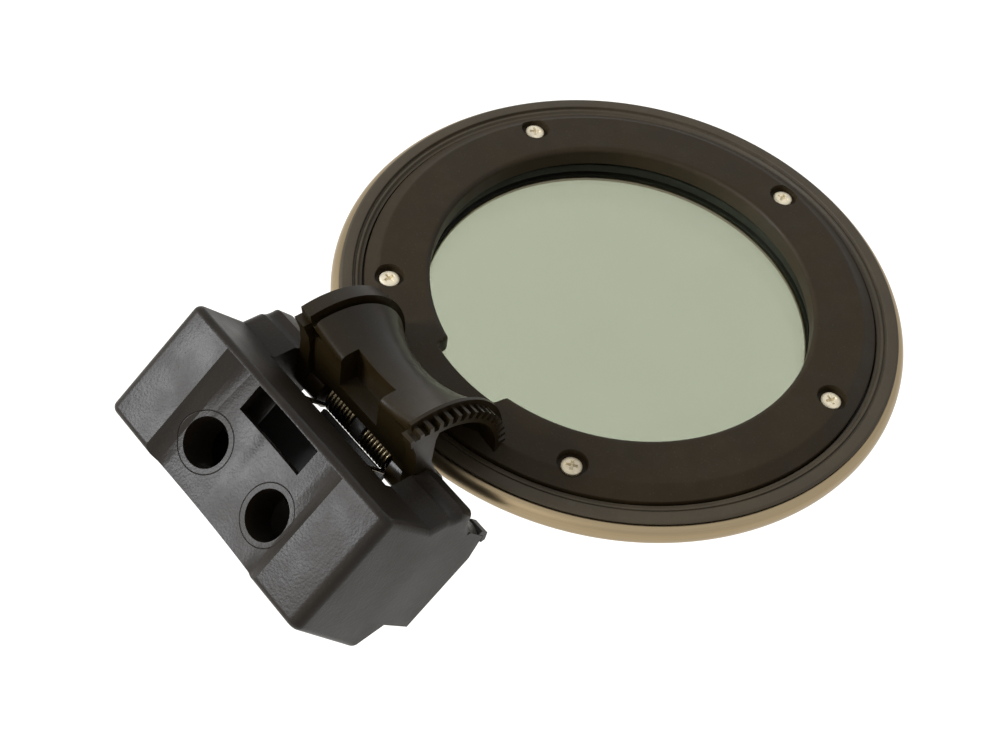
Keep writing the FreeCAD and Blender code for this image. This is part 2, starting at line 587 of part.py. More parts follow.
# ---------------------------------------------------------------- mounting housing
def build_housing():
    """Moulded housing: recessed front face with two sockets and a slot, hinge well and pin bosses."""
    top, face, back = d.housing_top, d.housing_face, d.housing_back
    wall = d.housing_wall
    body = new_body("housing_shell", HOUSING)
    outside = outline(new_sketch(body, "YZ_Plane"), [
        (-top, face), (-d.housing_base, face), (-d.housing_heel, d.heel_level), (-d.step_inset, -0.3),
        (-d.step_inset + 0.3, -back), (-d.back_top, -back), (d.nose_reach, -d.nose_level),
        (d.nose_reach, -3.0), (-top, 0.0)])
    pad(body, outside, d.housing_width, midplane=True)
    round_edges(body, d.face_round, is_end_edge)
    round_edges(body, d.top_round, is_face_edge)
    inside = outline(new_sketch(body, "YZ_Plane"), [
        (-top - wall, face - d.front_wall), (-d.housing_base + wall, face - d.front_wall),
        (-d.housing_heel + wall, d.heel_level + wall * 0.8), (-d.step_inset + wall, -0.3 + wall),
        (-d.step_inset + wall, -back - 1.0), (-top - 0.4, -back - 1.0), (-top - wall, -back + 7.0)])
    pad(body, inside, d.housing_width - wall * 2, midplane=True, cut=True)
    well_half = d.arm_half_width + d.well_play
    well = outline(new_sketch(body, "YZ_Plane"), [
        (-top - wall - 1.0, d.well_edge), (-top - wall - 1.0, -back - 1.0), (d.hump_radius + 2.0, -back - 1.0),
        (d.hump_radius + 2.0, d.well_edge)])
    pad(body, well, well_half * 2, midplane=True, cut=True)
    for start in (-well_half - d.cheek_thick, well_half):
        cheek = outline(new_sketch(body, "YZ_Plane", offset=start), [
            (-top - wall, 20.0), (-top - wall, 0.0), (0.0, -d.hump_radius + 0.6),
            (-d.back_top, -d.hump_radius + 1.6), (-d.back_top - 9.0, -d.cheek_foot),
            (-d.cheek_reach, -d.cheek_foot), (-d.cheek_reach, 20.0)])
        pad(body, cheek, d.cheek_thick)
    for at in cover_screw_places():
        pad(body, circle(new_sketch(body, "XY_Plane", offset=-back + d.cover_thick + d.cover_play), at,
                         d.post_radius), d.post_length)
        pad(body, circle(new_sketch(body, "XY_Plane", offset=-back), at,
                         d.cover_screw_radius + d.fit_play),
            d.cover_screw_length + d.cover_head_height + 0.6, cut=True, flip=True)
    pad(body, circle(new_sketch(body, "YZ_Plane"), (0, 0), d.pin_radius + d.fit_play),
        d.pin_length + 0.6, midplane=True, cut=True)
    for side in (-1, 1):
        at = (side * d.hole_spacing / 2, -d.hole_drop)
        pad(body, circle(new_sketch(body, "XY_Plane", offset=face - d.front_wall + 0.5), at,
                         d.hole_radius + d.collar_wall), d.collar_depth, flip=True)
    floor = d.recess_floor_half
    recess = outline(new_sketch(body, "XZ_Plane", offset=d.housing_heel + 2.0), [
        (-d.recess_half_width, face), (-floor, face - d.recess_edge_depth), (floor, face - d.recess_edge_depth),
        (d.recess_half_width, face), (d.recess_half_width, face + 4.0), (-d.recess_half_width, face + 4.0)],
        {1: Size(214.0, "214")})
    pad(body, recess, d.housing_heel + 2.0 - top - d.recess_top_rim, cut=True)
    for side in (-1, 1):
        at = (side * d.hole_spacing / 2, -d.hole_drop)
        pad(body, circle(new_sketch(body, "XY_Plane", offset=face), at, d.hole_radius),
            d.front_wall + d.collar_depth + 2.0, cut=True)
    slot = outline(new_sketch(body, "XY_Plane", offset=face), [
        (-d.slot_half_width, -d.slot_top - d.slot_height), (d.slot_half_width, -d.slot_top - d.slot_height),
        (d.slot_half_width, -d.slot_top), (-d.slot_half_width, -d.slot_top)])
    pad(body, slot, d.front_wall + 2.0, cut=True)
    return boolean("fuse", "mount_housing", body, build_hump("hump_left", -1), build_hump("hump_right", 1))


def is_end_edge(edge):
    """The two long edges where the front face meets the housing's ends."""
    box = edge.BoundBox
    return (abs(abs(box.Center.x) - number(d.housing_width) / 2) < 0.01 and box.XLength < 0.01
            and box.ZLength < 0.01 and box.Center.z > number(d.housing_face) - 0.01)


def is_face_edge(edge):
    """The two edges of the front face that run along the hinge axis."""
    box = edge.BoundBox
    return box.XLength > 60 and box.ZLength < 0.5 and box.Center.z > number(d.housing_face) - 0.5


def build_hump(label, side):
    """One rounded shoulder over the hinge pin, at an end of the housing."""
    body = new_body(label, HOUSING)
    inner = d.arm_half_width + d.well_play
    start = inner if side > 0 else -d.housing_width / 2
    low = -d.housing_top - d.housing_wall
    crest = d.hump_radius
    shoulder = outline(new_sketch(body, "YZ_Plane", offset=start), [
        (low, d.fairing_reach), (-d.housing_top, d.fairing_reach), (crest - 3.4, 15.6), (crest, 10.4),
        (crest, 3.0), (d.nose_reach + 1.5, -6.2), (d.nose_reach, -8.0), (low, -8.0)],
        {2: Size(6.0, "6"), 4: Size(9.0, "9")})
    pad(body, shoulder, d.housing_width / 2 - inner)
    round_edges(body, 3.6, lambda edge: is_hump_end(edge, side))
    pad(body, circle(new_sketch(body, "YZ_Plane"), (0, 0), d.pin_radius + d.fit_play),
        d.pin_length + 0.6, midplane=True, cut=True)
    return body


def is_hump_end(edge, side):
    """The outer end edges of one pin boss, above the housing's top."""
    box = edge.BoundBox
    return (abs(box.Center.x - side * number(d.housing_width) / 2) < 0.01 and box.XLength < 0.01
            and box.YMax > 2.0 and box.Center.z > -5.0 and box.YMin > -number(d.housing_top) - 0.1)


def build_cover():
    """Rear cover: a rail with four screws, stepping up to a tray over which the lid's rim swings in."""
    wall, play = d.housing_wall, d.cover_play
    half = d.housing_width / 2 - wall - play
    bottom = -d.step_inset + wall + play
    body = new_body("housing_cover", HOUSING)
    inner = half - d.cover_side_width
    plate = outline(new_sketch(body, "XY_Plane", offset=-d.housing_back), [
        (-half, bottom), (half, bottom), (half, -d.cover_side_top), (inner, -d.cover_side_top),
        (inner, bottom + d.cover_rail), (-inner, bottom + d.cover_rail), (-inner, -d.cover_side_top),
        (-half, -d.cover_side_top)])
    pad(body, plate, d.cover_thick)
    side, low, high = d.tray_half_width, bottom + d.cover_rail - d.tray_wall, bottom + d.cover_rail
    riser = outline(new_sketch(body, "XY_Plane", offset=-d.housing_back), [
        (-side, low), (side, low), (side, high), (-side, high)])
    pad(body, riser, d.housing_back + d.tray_level + d.tray_thick)
    tray = outline(new_sketch(body, "XY_Plane", offset=d.tray_level), [
        (-side, low), (side, low), (side, -d.tray_edge), (d.tongue_right, -d.tray_edge),
        (d.tongue_right, -d.tongue_edge), (-d.tongue_left, -d.tongue_edge), (-d.tongue_left, -d.tray_edge),
        (-side, -d.tray_edge)])
    pad(body, tray, d.tray_thick)
    for at in cover_screw_places():
        pad(body, circle(new_sketch(body, "XY_Plane", offset=-d.housing_back), at,
                         d.cover_screw_radius + 0.2), d.cover_thick + 1.0, cut=True, flip=True)
        pad(body, circle(new_sketch(body, "XY_Plane", offset=-d.housing_back), at,
                         d.cover_head_radius + 0.3), d.cover_head_height, cut=True, flip=True)
    return body


def cover_screw_places():
    places = []
    for side in (-1, 1):
        for reach in (0, d.post_spread):
            places.append((side * (d.housing_width / 2 - d.post_inset - d.housing_wall - reach),
                           -d.step_inset + d.post_inset + d.housing_wall))
    return places


def build_cover_screws():
    screw = cross_screw(number(d.cover_head_radius), number(d.cover_head_height), number(d.cover_screw_radius),
                        number(d.cover_screw_length), 0.6, 2.8, 0.8)
    seat = number(-d.housing_back + d.cover_head_height)
    places = [Placement(Vector(number(x), number(y), seat), Rotation(X_AXIS, 180))
              for x, y in cover_screw_places()]
    return screw_group("cover_screws", screw, places, HOUSING)


def build_clip(label, side):
    """Small hooked clip on the nose of the housing's end, beside the hinge."""
    body = new_body(label, HOUSING)
    start = d.housing_width / 2 - d.clip_width if side > 0 else -d.housing_width / 2
    reach, play = d.nose_reach, 0.1
    hook = outline(new_sketch(body, "YZ_Plane", offset=start), [
        (reach + play, -8.4), (reach + play + d.clip_thick, -8.8),
        (reach + play + d.clip_thick, -d.nose_level - 1.2), (reach - 1.0, -d.nose_level - d.clip_hook),
        (reach - 2.6, -d.nose_level - d.clip_hook + 1.0), (reach - 2.0, -d.nose_level - 1.3),
        (reach + play, -d.nose_level - 0.2)])
    pad(body, hook, d.clip_width)
    return body


build_trim()
build_panes()
build_carrier()
build_frame()
build_gasket()
build_frame_screws()
build_arm()
build_bushes()
build_pin_and_spool()
build_spring("torsion_spring_right", 1)
build_spring("torsion_spring_left", -1)
build_housing()
build_cover()
build_cover_screws()
build_clip("side_clip_right", 1)
build_clip("side_clip_left", -1)
doc.recompute()

NODES = ["trim_ring", "outer_glass_seal", "outer_glass", "lid_carrier", "pane_spacer", "inner_glass",
         "inner_glass_seal", "window_frame", "lid_gasket", "frame_screws", "hinge_arm", "hinge_bush_left",
         "hinge_bush_right", "hinge_pin", "spring_spool", "torsion_spring_right", "torsion_spring_left",
         "mount_housing", "housing_cover", "cover_screws", "side_clip_right", "side_clip_left"]

faults = [o.Label for o in doc.Objects if "Invalid" in o.State or "Error" in o.State]
if faults:
    raise RuntimeError("failed objects: " + ", ".join(faults))
os.makedirs("parts", exist_ok=True)
for label in NODES:
    shape = doc.getObjectsByLabel(label)[0].Shape
    if shape.isNull() or not shape.isValid() or not shape.Solids:
        raise RuntimeError("bad shape: " + label)
    shape.exportStep("parts/%s.step" % label)
    print("%-22s solids %d  volume %.1f" % (label, len(shape.Solids), shape.Volume))
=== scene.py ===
"""A hinged round lid with a double-glazed viewing window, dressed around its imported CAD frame.

The lid lies on its outer face: satin steel trim, rubber gasket, black window frame with five
recessed screws, a waisted hinge arm with a tooth sector, and the housing that carries the hinge.
"""
from __future__ import annotations

import logging
import math
from dataclasses import dataclass
from enum import Enum
from typing import Sequence
import bmesh
import bpy
import numpy as np
from mathutils import Matrix, Vector


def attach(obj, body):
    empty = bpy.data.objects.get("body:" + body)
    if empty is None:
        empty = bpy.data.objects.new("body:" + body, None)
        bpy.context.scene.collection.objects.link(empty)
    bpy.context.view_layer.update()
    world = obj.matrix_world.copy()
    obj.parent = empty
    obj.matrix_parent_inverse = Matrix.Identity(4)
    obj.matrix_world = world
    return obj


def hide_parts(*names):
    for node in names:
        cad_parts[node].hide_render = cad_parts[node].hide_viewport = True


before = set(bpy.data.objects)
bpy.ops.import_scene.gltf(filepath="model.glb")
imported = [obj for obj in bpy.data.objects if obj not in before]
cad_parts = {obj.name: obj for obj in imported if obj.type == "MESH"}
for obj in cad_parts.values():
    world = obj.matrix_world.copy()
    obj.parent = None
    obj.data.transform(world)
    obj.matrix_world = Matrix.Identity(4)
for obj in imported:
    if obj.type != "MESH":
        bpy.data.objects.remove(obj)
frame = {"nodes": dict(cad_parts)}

LOG = logging.getLogger("lid")
MM = 0.001
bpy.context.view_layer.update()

# The hinge's axis runs along X through PIVOT, and the housing is tilted about it by HINGE_TILT degrees.
PIVOT = (0.0, -112.5, 20.0)
HINGE_TILT = 41.3
HOUSING_TURN = np.array([[1.0, 0.0, 0.0],
                         [0.0, math.cos(math.radians(HINGE_TILT)), -math.sin(math.radians(HINGE_TILT))],
                         [0.0, math.sin(math.radians(HINGE_TILT)), math.cos(math.radians(HINGE_TILT))]])
ALONG_X = np.array([[0.0, 0.0, 1.0], [1.0, 0.0, 0.0], [0.0, 1.0, 0.0]])

# A socket's axis across and down the housing, the level above which its mouth lies, and its radius.
SOCKET = (16.3, -29.9, 35.0)
SOCKET_RADIUS = 8.0


class Side(Enum):
    """An end of the hinge; its value is the sign of X there."""

    LEFT = -1
    RIGHT = 1

    def of(self, stem: str) -> str:
        """A piece's name at this end, such as torsion_spring_left."""
        return f"{stem}_{self.name.lower()}"


# ------------------------------------------------------------------ surfaces
def place(local: np.ndarray, origin: Sequence[float], turn: np.ndarray) -> np.ndarray:
    """Carry points from a piece's own frame into the row frame: turn them, then shift them.

    Args:
        local: points in millimetres, last axis of length 3.
        origin: the piece's origin in the row frame, in millimetres.
        turn: 3 by 3 rotation whose columns are the piece's own axes.

    Returns:
        The points in metres, in the row frame.
    """
    return (local @ turn.T + np.asarray(origin, float)) * MM


def sheet_faces(nu: int, nv: int, wrap_u: bool, wrap_v: bool) -> np.ndarray:
    """Quads of an nu by nv grid: each joins a point to its next row, next column and both.

    Args:
        nu: rows of the grid.
        nv: columns of the grid.
        wrap_u: join the last row to the first.
        wrap_v: join the last column to the first.

    Returns:
        An array of four vertex numbers a face.
    """
    u, v = np.meshgrid(np.arange(nu - (not wrap_u)), np.arange(nv - (not wrap_v)), indexing="ij")
    un, vn = (u + 1) % nu, (v + 1) % nv
    return np.stack([u * nv + v, un * nv + v, un * nv + vn, u * nv + vn], -1).reshape(-1, 4)


def make_piece(name: str, grids: Sequence[tuple[np.ndarray, bool, bool]], sharp: float = 32.0,
               fill_ends: bool = False) -> bpy.types.Object:
    """One object from several grids; coincident points are welded and faces turned outwards.

    Args:
        name: the piece's name.
        grids: for each grid its points in metres, and whether rows and columns close up.
        sharp: edges turning by more than this many degrees stay sharp.
        fill_ends: cap open loops with a face.

    Returns:
        The new object, linked to the scene, its place in its mesh.
    """
    points, faces, base = [], [], 0
    for grid, wrap_u, wrap_v in grids:
        nu, nv = grid.shape[:2]
        points.append(grid.reshape(-1, 3))
        faces.append(sheet_faces(nu, nv, wrap_u, wrap_v) + base)
        base += nu * nv
    mesh = bpy.data.meshes.new(name)
    mesh.from_pydata(np.concatenate(points), [], np.concatenate(faces).tolist())
    shell = bmesh.new()
    shell.from_mesh(mesh)
    bmesh.ops.remove_doubles(shell, verts=shell.verts, dist=2e-6)
    bmesh.ops.dissolve_degenerate(shell, edges=shell.edges, dist=1e-7)
    if fill_ends:
        rims = [e for e in shell.edges if e.is_boundary]
        bmesh.ops.holes_fill(shell, edges=rims, sides=0)
    bmesh.ops.recalc_face_normals(shell, faces=shell.faces)
    shell.to_mesh(mesh)
    shell.free()
    return finish_mesh(name, mesh, sharp)


def finish_mesh(name: str, mesh: bpy.types.Mesh, sharp: float) -> bpy.types.Object:
    """Shade a mesh smooth but for its sharp edges, and link it as an object at the origin.

    Args:
        name: the object's name.
        mesh: the finished mesh.
        sharp: the angle in degrees past which an edge stays sharp.

    Returns:
        The new object.
    """
    mesh.polygons.foreach_set("use_smooth", np.ones(len(mesh.polygons), bool))
    mesh.set_sharp_from_angle(angle=math.radians(sharp))
    mesh.update()
    piece = bpy.data.objects.new(name, mesh)
    bpy.context.scene.collection.objects.link(piece)
    return piece


def rounded(corners: Sequence[tuple[float, ...]], steps: int = 6) -> np.ndarray:
    """A closed outline whose corners are arcs.

    Each corner (x, y, radius) becomes an arc tangent to its two sides: the arc's centre lies on
    the corner's bisector at radius / sin(half angle), and its points are evenly spaced in angle.

    Args:
        corners: outline corners, each x, y and a fillet radius (0 keeps the corner).
        steps: points on each arc.

    Returns:
        An array of x, y points round the outline.
    """
    pts = np.array([c[:2] for c in corners], float)
    out = []
    for i, corner in enumerate(corners):
        p, a, b = pts[i], pts[i - 1], pts[(i + 1) % len(pts)]
        radius = corner[2] if len(corner) > 2 else 0.0
        da, db = (a - p) / np.linalg.norm(a - p), (b - p) / np.linalg.norm(b - p)
        half = math.acos(float(np.clip(da @ db, -1, 1))) / 2
        if radius <= 0 or half > math.pi / 2 - 0.02:
            out.append(p[None])
            continue
        shorter_side = min(np.linalg.norm(a - p), np.linalg.norm(b - p))
        reach = min(radius / math.tan(half), 0.49 * shorter_side)
        radius = reach * math.tan(half)
        centre = p + (da + db) / np.linalg.norm(da + db) * radius / math.sin(half)
        start, end = p + da * reach - centre, p + db * reach - centre
        t = np.linspace(0, 1, steps)[:, None]
        swing = math.acos(float(np.clip(start @ end / radius ** 2, -1, 1)))
        arc = np.sin((1 - t) * swing) * start + np.sin(t * swing) * end
        out.append(centre + arc / max(math.sin(swing), 1e-9))
    return np.concatenate(out)


def turned(profile: np.ndarray, segments: int) -> np.ndarray:
    """A profile of radius and height turned once about the local Z axis: (r cos a, r sin a, z).

    Args:
        profile: array of radius, height points in millimetres.
        segments: steps round the turn, the last of which joins up with the first.

    Returns:
        A grid of points, one row for each profile point.
    """
    angles = np.radians(np.linspace(0, 360, segments, endpoint=False))
    r, z = profile[:, :1], profile[:, 1:2]
    return np.stack([r * np.cos(angles), r * np.sin(angles), z + 0 * angles], -1)


def smoothstep(low: float, high: float, x: np.ndarray) -> np.ndarray:
    """The cubic ramp 3t^2 - 2t^3 of x, from 0 at low to 1 at high."""
    t = np.clip((x - low) / (high - low), 0.0, 1.0)
    return t * t * (3.0 - 2.0 * t)


# ------------------------------------------------------------------ shader groups
FLOAT = "NodeSocketFloat"
VECTOR = ("NodeSocketVector", None)


def new_group(name: str, inputs: dict[str, tuple[str, float | None]],
              outputs: dict[str, str]) -> tuple[Wiring, bpy.types.Node, bpy.types.Node]:
    """An empty shader node group with named sockets.

    Args:
        name: the group's name.
        inputs: socket name to its type and default value.
        outputs: socket name to its type.

    Returns:
        The group's wiring helper, its input node and its output node.
    """
    tree = bpy.data.node_groups.new(name, "ShaderNodeTree")
    for label, (kind, value) in inputs.items():
        socket = tree.interface.new_socket(label, in_out="INPUT", socket_type=kind)
        if value is not None:
            socket.default_value = value
    for label, kind in outputs.items():
        tree.interface.new_socket(label, in_out="OUTPUT", socket_type=kind)
    w = Wiring(tree)
    return w, w.add("NodeGroupInput"), w.add("NodeGroupOutput")


class Wiring:
    """Short-hand for adding and joining nodes of one tree."""

    def __init__(self, tree: bpy.types.NodeTree) -> None:
        """Remember the tree that nodes are added to."""
        self.tree = tree

    def add(self, kind: str, **values: object) -> bpy.types.Node:
        """A new node, with its properties or its sockets' defaults set by name.

        Args:
            kind: the node's type name.
            values: a property of the node, or the value of an input socket (spaces as _).

        Returns:
            The node.
        """
        node = self.tree.nodes.new(kind)
        for key, value in values.items():
            if hasattr(node, key):
                setattr(node, key, value)
            else:
                node.inputs[key.replace("_", " ")].default_value = value
        return node

    def join(self, source: bpy.types.NodeSocket, target: bpy.types.NodeSocket) -> None:
        """Link an output socket to an input."""
        self.tree.links.new(source, target)

    def feed(self, term: object, socket: bpy.types.NodeSocket) -> None:
        """Link an output socket to an input, or set the input to a plain value.

        Args:
            term: an output socket, a number or a colour.
            socket: the input.
        """
        if isinstance(term, bpy.types.NodeSocket):
            self.join(term, socket)
        elif socket.type == "RGBA":
            socket.default_value = (*term[:3], 1.0)
        else:
            socket.default_value = float(term)

    def math(self, operation: str, *terms: object, clamp: bool = False) -> bpy.types.NodeSocket:
        """A Math node on sockets or plain numbers.

        Args:
            operation: the Math node's operation.
            terms: sockets or numbers.
            clamp: keep the result between 0 and 1.

        Returns:
            The node's output socket.
        """
        node = self.add("ShaderNodeMath", operation=operation, use_clamp=clamp)
        for i, term in enumerate(terms):
            self.feed(term, node.inputs[i])
        return node.outputs[0]

    def ramp(self, value: bpy.types.NodeSocket, low: object, high: object) -> bpy.types.NodeSocket:
        """A smooth 0 to 1 ramp of a value.

        Args:
            value: the value's socket.
            low: the number or socket at which the ramp leaves 0.
            high: the number or socket at which it reaches 1.

        Returns:
            The ramp's socket.
        """
        node = self.add("ShaderNodeMapRange", interpolation_type="SMOOTHSTEP")
        self.join(value, node.inputs["Value"])
        self.feed(low, node.inputs["From Min"])
        self.feed(high, node.inputs["From Max"])
        return node.outputs["Result"]

    def noise(self, where: bpy.types.NodeSocket, scale: object, detail: float = 3.0,
              rough: float = 0.55) -> bpy.types.NodeSocket:
        """Fractal noise of a position.

        Args:
            where: the position's socket.
            scale: a number or socket, in cells a metre.
            detail: octaves.
            rough: how strong each octave is beside the last.

        Returns:
            The noise's socket, from 0 to 1.
        """
        node = self.add("ShaderNodeTexNoise", Detail=detail, Roughness=rough)
        self.join(where, node.inputs["Vector"])
        self.feed(scale, node.inputs["Scale"])
        return node.outputs["Fac"]

    def mix(self, factor: object, first: object, second: object) -> bpy.types.NodeSocket:
        """A colour between two colours.

        Args:
            factor: the second colour's share, a number or socket.
            first: a colour or socket.
            second: a colour or socket.

        Returns:
            The mixed colour's socket.
        """
        node = self.add("ShaderNodeMix", data_type="RGBA")
        sockets = node.inputs[0], node.inputs[6], node.inputs[7]
        for socket, term in zip(sockets, (factor, first, second)):
            self.feed(term, socket)
        return node.outputs[2]

    def blend(self, factor: bpy.types.NodeSocket, first: bpy.types.NodeSocket,
              second: bpy.types.NodeSocket) -> None:
        """Join a mix of two shaders to the tree's output.

        Args:
            factor: the second shader's share.
            first: a shader.
            second: a shader.
        """
        node = self.add("ShaderNodeMixShader")
        for socket, term in zip(node.inputs, (factor, first, second)):
            self.join(term, socket)
        output = next(n for n in self.tree.nodes if n.type in ("OUTPUT_MATERIAL", "OUTPUT_WORLD"))
        self.join(node.outputs[0], output.inputs["Surface"])


class Effects:
    """The shader groups that several finishes share, each built once."""

    def __init__(self) -> None:
        """Build every group."""
        self.grain = self._grain()
        self.wear = self._wear()
        self.dust = self._dust()
        self.turning = self._turning()
        self.rings = self._rings()

    def _grain(self) -> bpy.types.NodeTree:
        """Spark-eroded moulding grain: Worley pits broken up by fine noise, and a broad mottle."""
        w, start, end = new_group(
            "MouldGrain",
            {"Position": VECTOR, "Scale": (FLOAT, 900.0), "Mottle Scale": (FLOAT, 60.0)},
            {"Height": FLOAT, "Mottle": FLOAT})
        cells = w.add("ShaderNodeTexVoronoi", feature="SMOOTH_F1", Smoothness=0.6)
        w.join(start.outputs["Position"], cells.inputs["Vector"])
        w.join(start.outputs["Scale"], cells.inputs["Scale"])
        fine = w.noise(start.outputs["Position"], w.math("MULTIPLY", start.outputs["Scale"], 1.7), 2.0)
        pits = w.math("MULTIPLY", cells.outputs["Distance"], 0.7)
        w.join(w.math("ADD", pits, w.math("MULTIPLY", fine, 0.6)), end.inputs["Height"])
        broad = w.noise(start.outputs["Position"], start.outputs["Mottle Scale"], 4.0, 0.6)
        w.join(w.ramp(broad, 0.3, 0.7), end.inputs["Mottle"])
        return w.tree

    def _wear(self) -> bpy.types.NodeTree:
        """Rubbed edges: where the surface is convex by its pointiness, broken up by noise."""
        w, start, end = new_group(
            "EdgeWear",
            {"Position": VECTOR, "Start": (FLOAT, 0.515), "Full": (FLOAT, 0.58),
             "Breakup Scale": (FLOAT, 320.0)},
            {"Mask": FLOAT})
        shape = w.add("ShaderNodeNewGeometry")
        edge = w.ramp(shape.outputs["Pointiness"], start.outputs["Start"], start.outputs["Full"])
        breakup = w.noise(start.outputs["Position"], start.outputs["Breakup Scale"], 4.0)
        w.join(w.math("MULTIPLY", edge, w.ramp(breakup, 0.35, 0.65), clamp=True), end.inputs["Mask"])
        return w.tree

    def _dust(self) -> bpy.types.NodeTree:
        """Settled dust: on faces that look up, in clumps and in fine specks."""
        w, start, end = new_group(
            "SettledDust",
            {"Position": VECTOR, "Amount": (FLOAT, 0.3), "Speck Scale": (FLOAT, 1400.0)},
            {"Mask": FLOAT})
        shape = w.add("ShaderNodeNewGeometry")
        split = w.add("ShaderNodeSeparateXYZ")
        w.join(shape.outputs["Normal"], split.inputs[0])
        upward = w.ramp(split.outputs["Z"], 0.2, 0.9)
        clumps = w.ramp(w.noise(start.outputs["Position"], 90.0, 5.0, 0.65), 0.42, 0.75)
        specks = w.ramp(w.noise(start.outputs["Position"], start.outputs["Speck Scale"], 1.0), 0.66, 0.74)
        total = w.math("MULTIPLY", upward, w.math("ADD", w.math("MULTIPLY", clumps, 0.4), specks))
        w.join(w.math("MULTIPLY", total, start.outputs["Amount"], clamp=True), end.inputs["Mask"])
        return w.tree

    def _turning(self) -> bpy.types.NodeTree:
        """Spun metal: noise drawn out round the lid's axis, from radius, height and a little angle."""
        w, start, end = new_group(
            "TurningMarks",
            {"Position": VECTOR, "Scale": (FLOAT, 5200.0)},
            {"Height": FLOAT, "Tone": FLOAT})
        split = w.add("ShaderNodeSeparateXYZ")
        w.join(start.outputs["Position"], split.inputs[0])
        x, y, z = split.outputs
        radius = w.math("SQRT", w.math("ADD", w.math("MULTIPLY", x, x), w.math("MULTIPLY", y, y)))
        along = w.add("ShaderNodeCombineXYZ")
        w.join(radius, along.inputs[0])
        w.join(z, along.inputs[1])
        w.join(w.math("MULTIPLY", w.math("ARCTAN2", y, x), 0.0009), along.inputs[2])
        lines = w.noise(along.outputs[0], start.outputs["Scale"], 3.0, 0.6)
        w.join(lines, end.inputs["Height"])
        w.join(w.ramp(w.noise(along.outputs[0], 900.0, 2.0), 0.3, 0.7), end.inputs["Tone"])
        return w.tree

    def _rings(self) -> bpy.types.NodeTree:
        """A fine ring round each socket of the housing, from the distance to the nearer socket's axis."""
        w, start, end = new_group(
            "SocketRings",
            {"Position": VECTOR, "Radius": (FLOAT, 9.9 * MM), "Width": (FLOAT, 0.22 * MM)},
            {"Mask": FLOAT})
        level = w.add("ShaderNodeVectorRotate", rotation_type="X_AXIS", Angle=-math.radians(HINGE_TILT))
        level.inputs["Center"].default_value = [c * MM for c in PIVOT]
        w.join(start.outputs["Position"], level.inputs["Vector"])
        split = w.add("ShaderNodeSeparateXYZ")
        w.join(level.outputs[0], split.inputs[0])
        across = w.math("SUBTRACT", w.math("ABSOLUTE", split.outputs["X"]), SOCKET[0] * MM)
        along = w.math("SUBTRACT", split.outputs["Y"], (PIVOT[1] + SOCKET[1]) * MM)
        squares = w.math("MULTIPLY", across, across), w.math("MULTIPLY", along, along)
        away = w.math("SQRT", w.math("ADD", *squares))
        off = w.math("ABSOLUTE", w.math("SUBTRACT", away, start.outputs["Radius"]))
        ring = w.math("SUBTRACT", 1.0, w.ramp(off, 0.0, start.outputs["Width"]))
        front = w.math("GREATER_THAN", split.outputs["Z"], (PIVOT[2] + SOCKET[2]) * MM)
        w.join(w.math("MULTIPLY", ring, front, clamp=True), end.inputs["Mask"])
        return w.tree


EFFECTS = Effects()


# ------------------------------------------------------------------ finishes
def start_material(name: str) -> tuple[bpy.types.Material, Wiring, bpy.types.Node, bpy.types.NodeSocket]:
    """A material with a Principled shader and the piece's Object coordinates.

    Args:
        name: the material's name.

    Returns:
        The material, its wiring helper, its shader node and the coordinate socket.
    """
    material = bpy.data.materials.new(name)
    material.use_nodes = True
    w = Wiring(material.node_tree)
    shader = material.node_tree.nodes["Principled BSDF"]
    return material, w, shader, w.add("ShaderNodeTexCoord").outputs["Object"]


def use_group(w: Wiring, tree: bpy.types.NodeTree, where: bpy.types.NodeSocket,
              **values: float) -> bpy.types.Node:
    """Place a shared group in a material and feed it a position.

    Args:
        w: the material's wiring helper.
        tree: the group.
        where: the position socket.
        values: input values by name, spaces as underscores.

    Returns:
        The group node.
    """
    node = w.add("ShaderNodeGroup", node_tree=tree)
    w.join(where, node.inputs["Position"])
    for key, value in values.items():
        node.inputs[key.replace("_", " ")].default_value = value
    return node


def bump(w: Wiring, height: bpy.types.NodeSocket, shader: bpy.types.Node, depth: float) -> None:
    """Feed a height into the shader's normal.

    Args:
        w: the material's wiring helper.
        height: the height's socket.
        shader: the material's shader node.
        depth: the depth in metres that a height of 1 stands for.
    """
    node = w.add("ShaderNodeBump", Strength=1.0, Distance=depth)
    w.join(height, node.inputs["Height"])
    w.join(node.outputs[0], shader.inputs["Normal"])


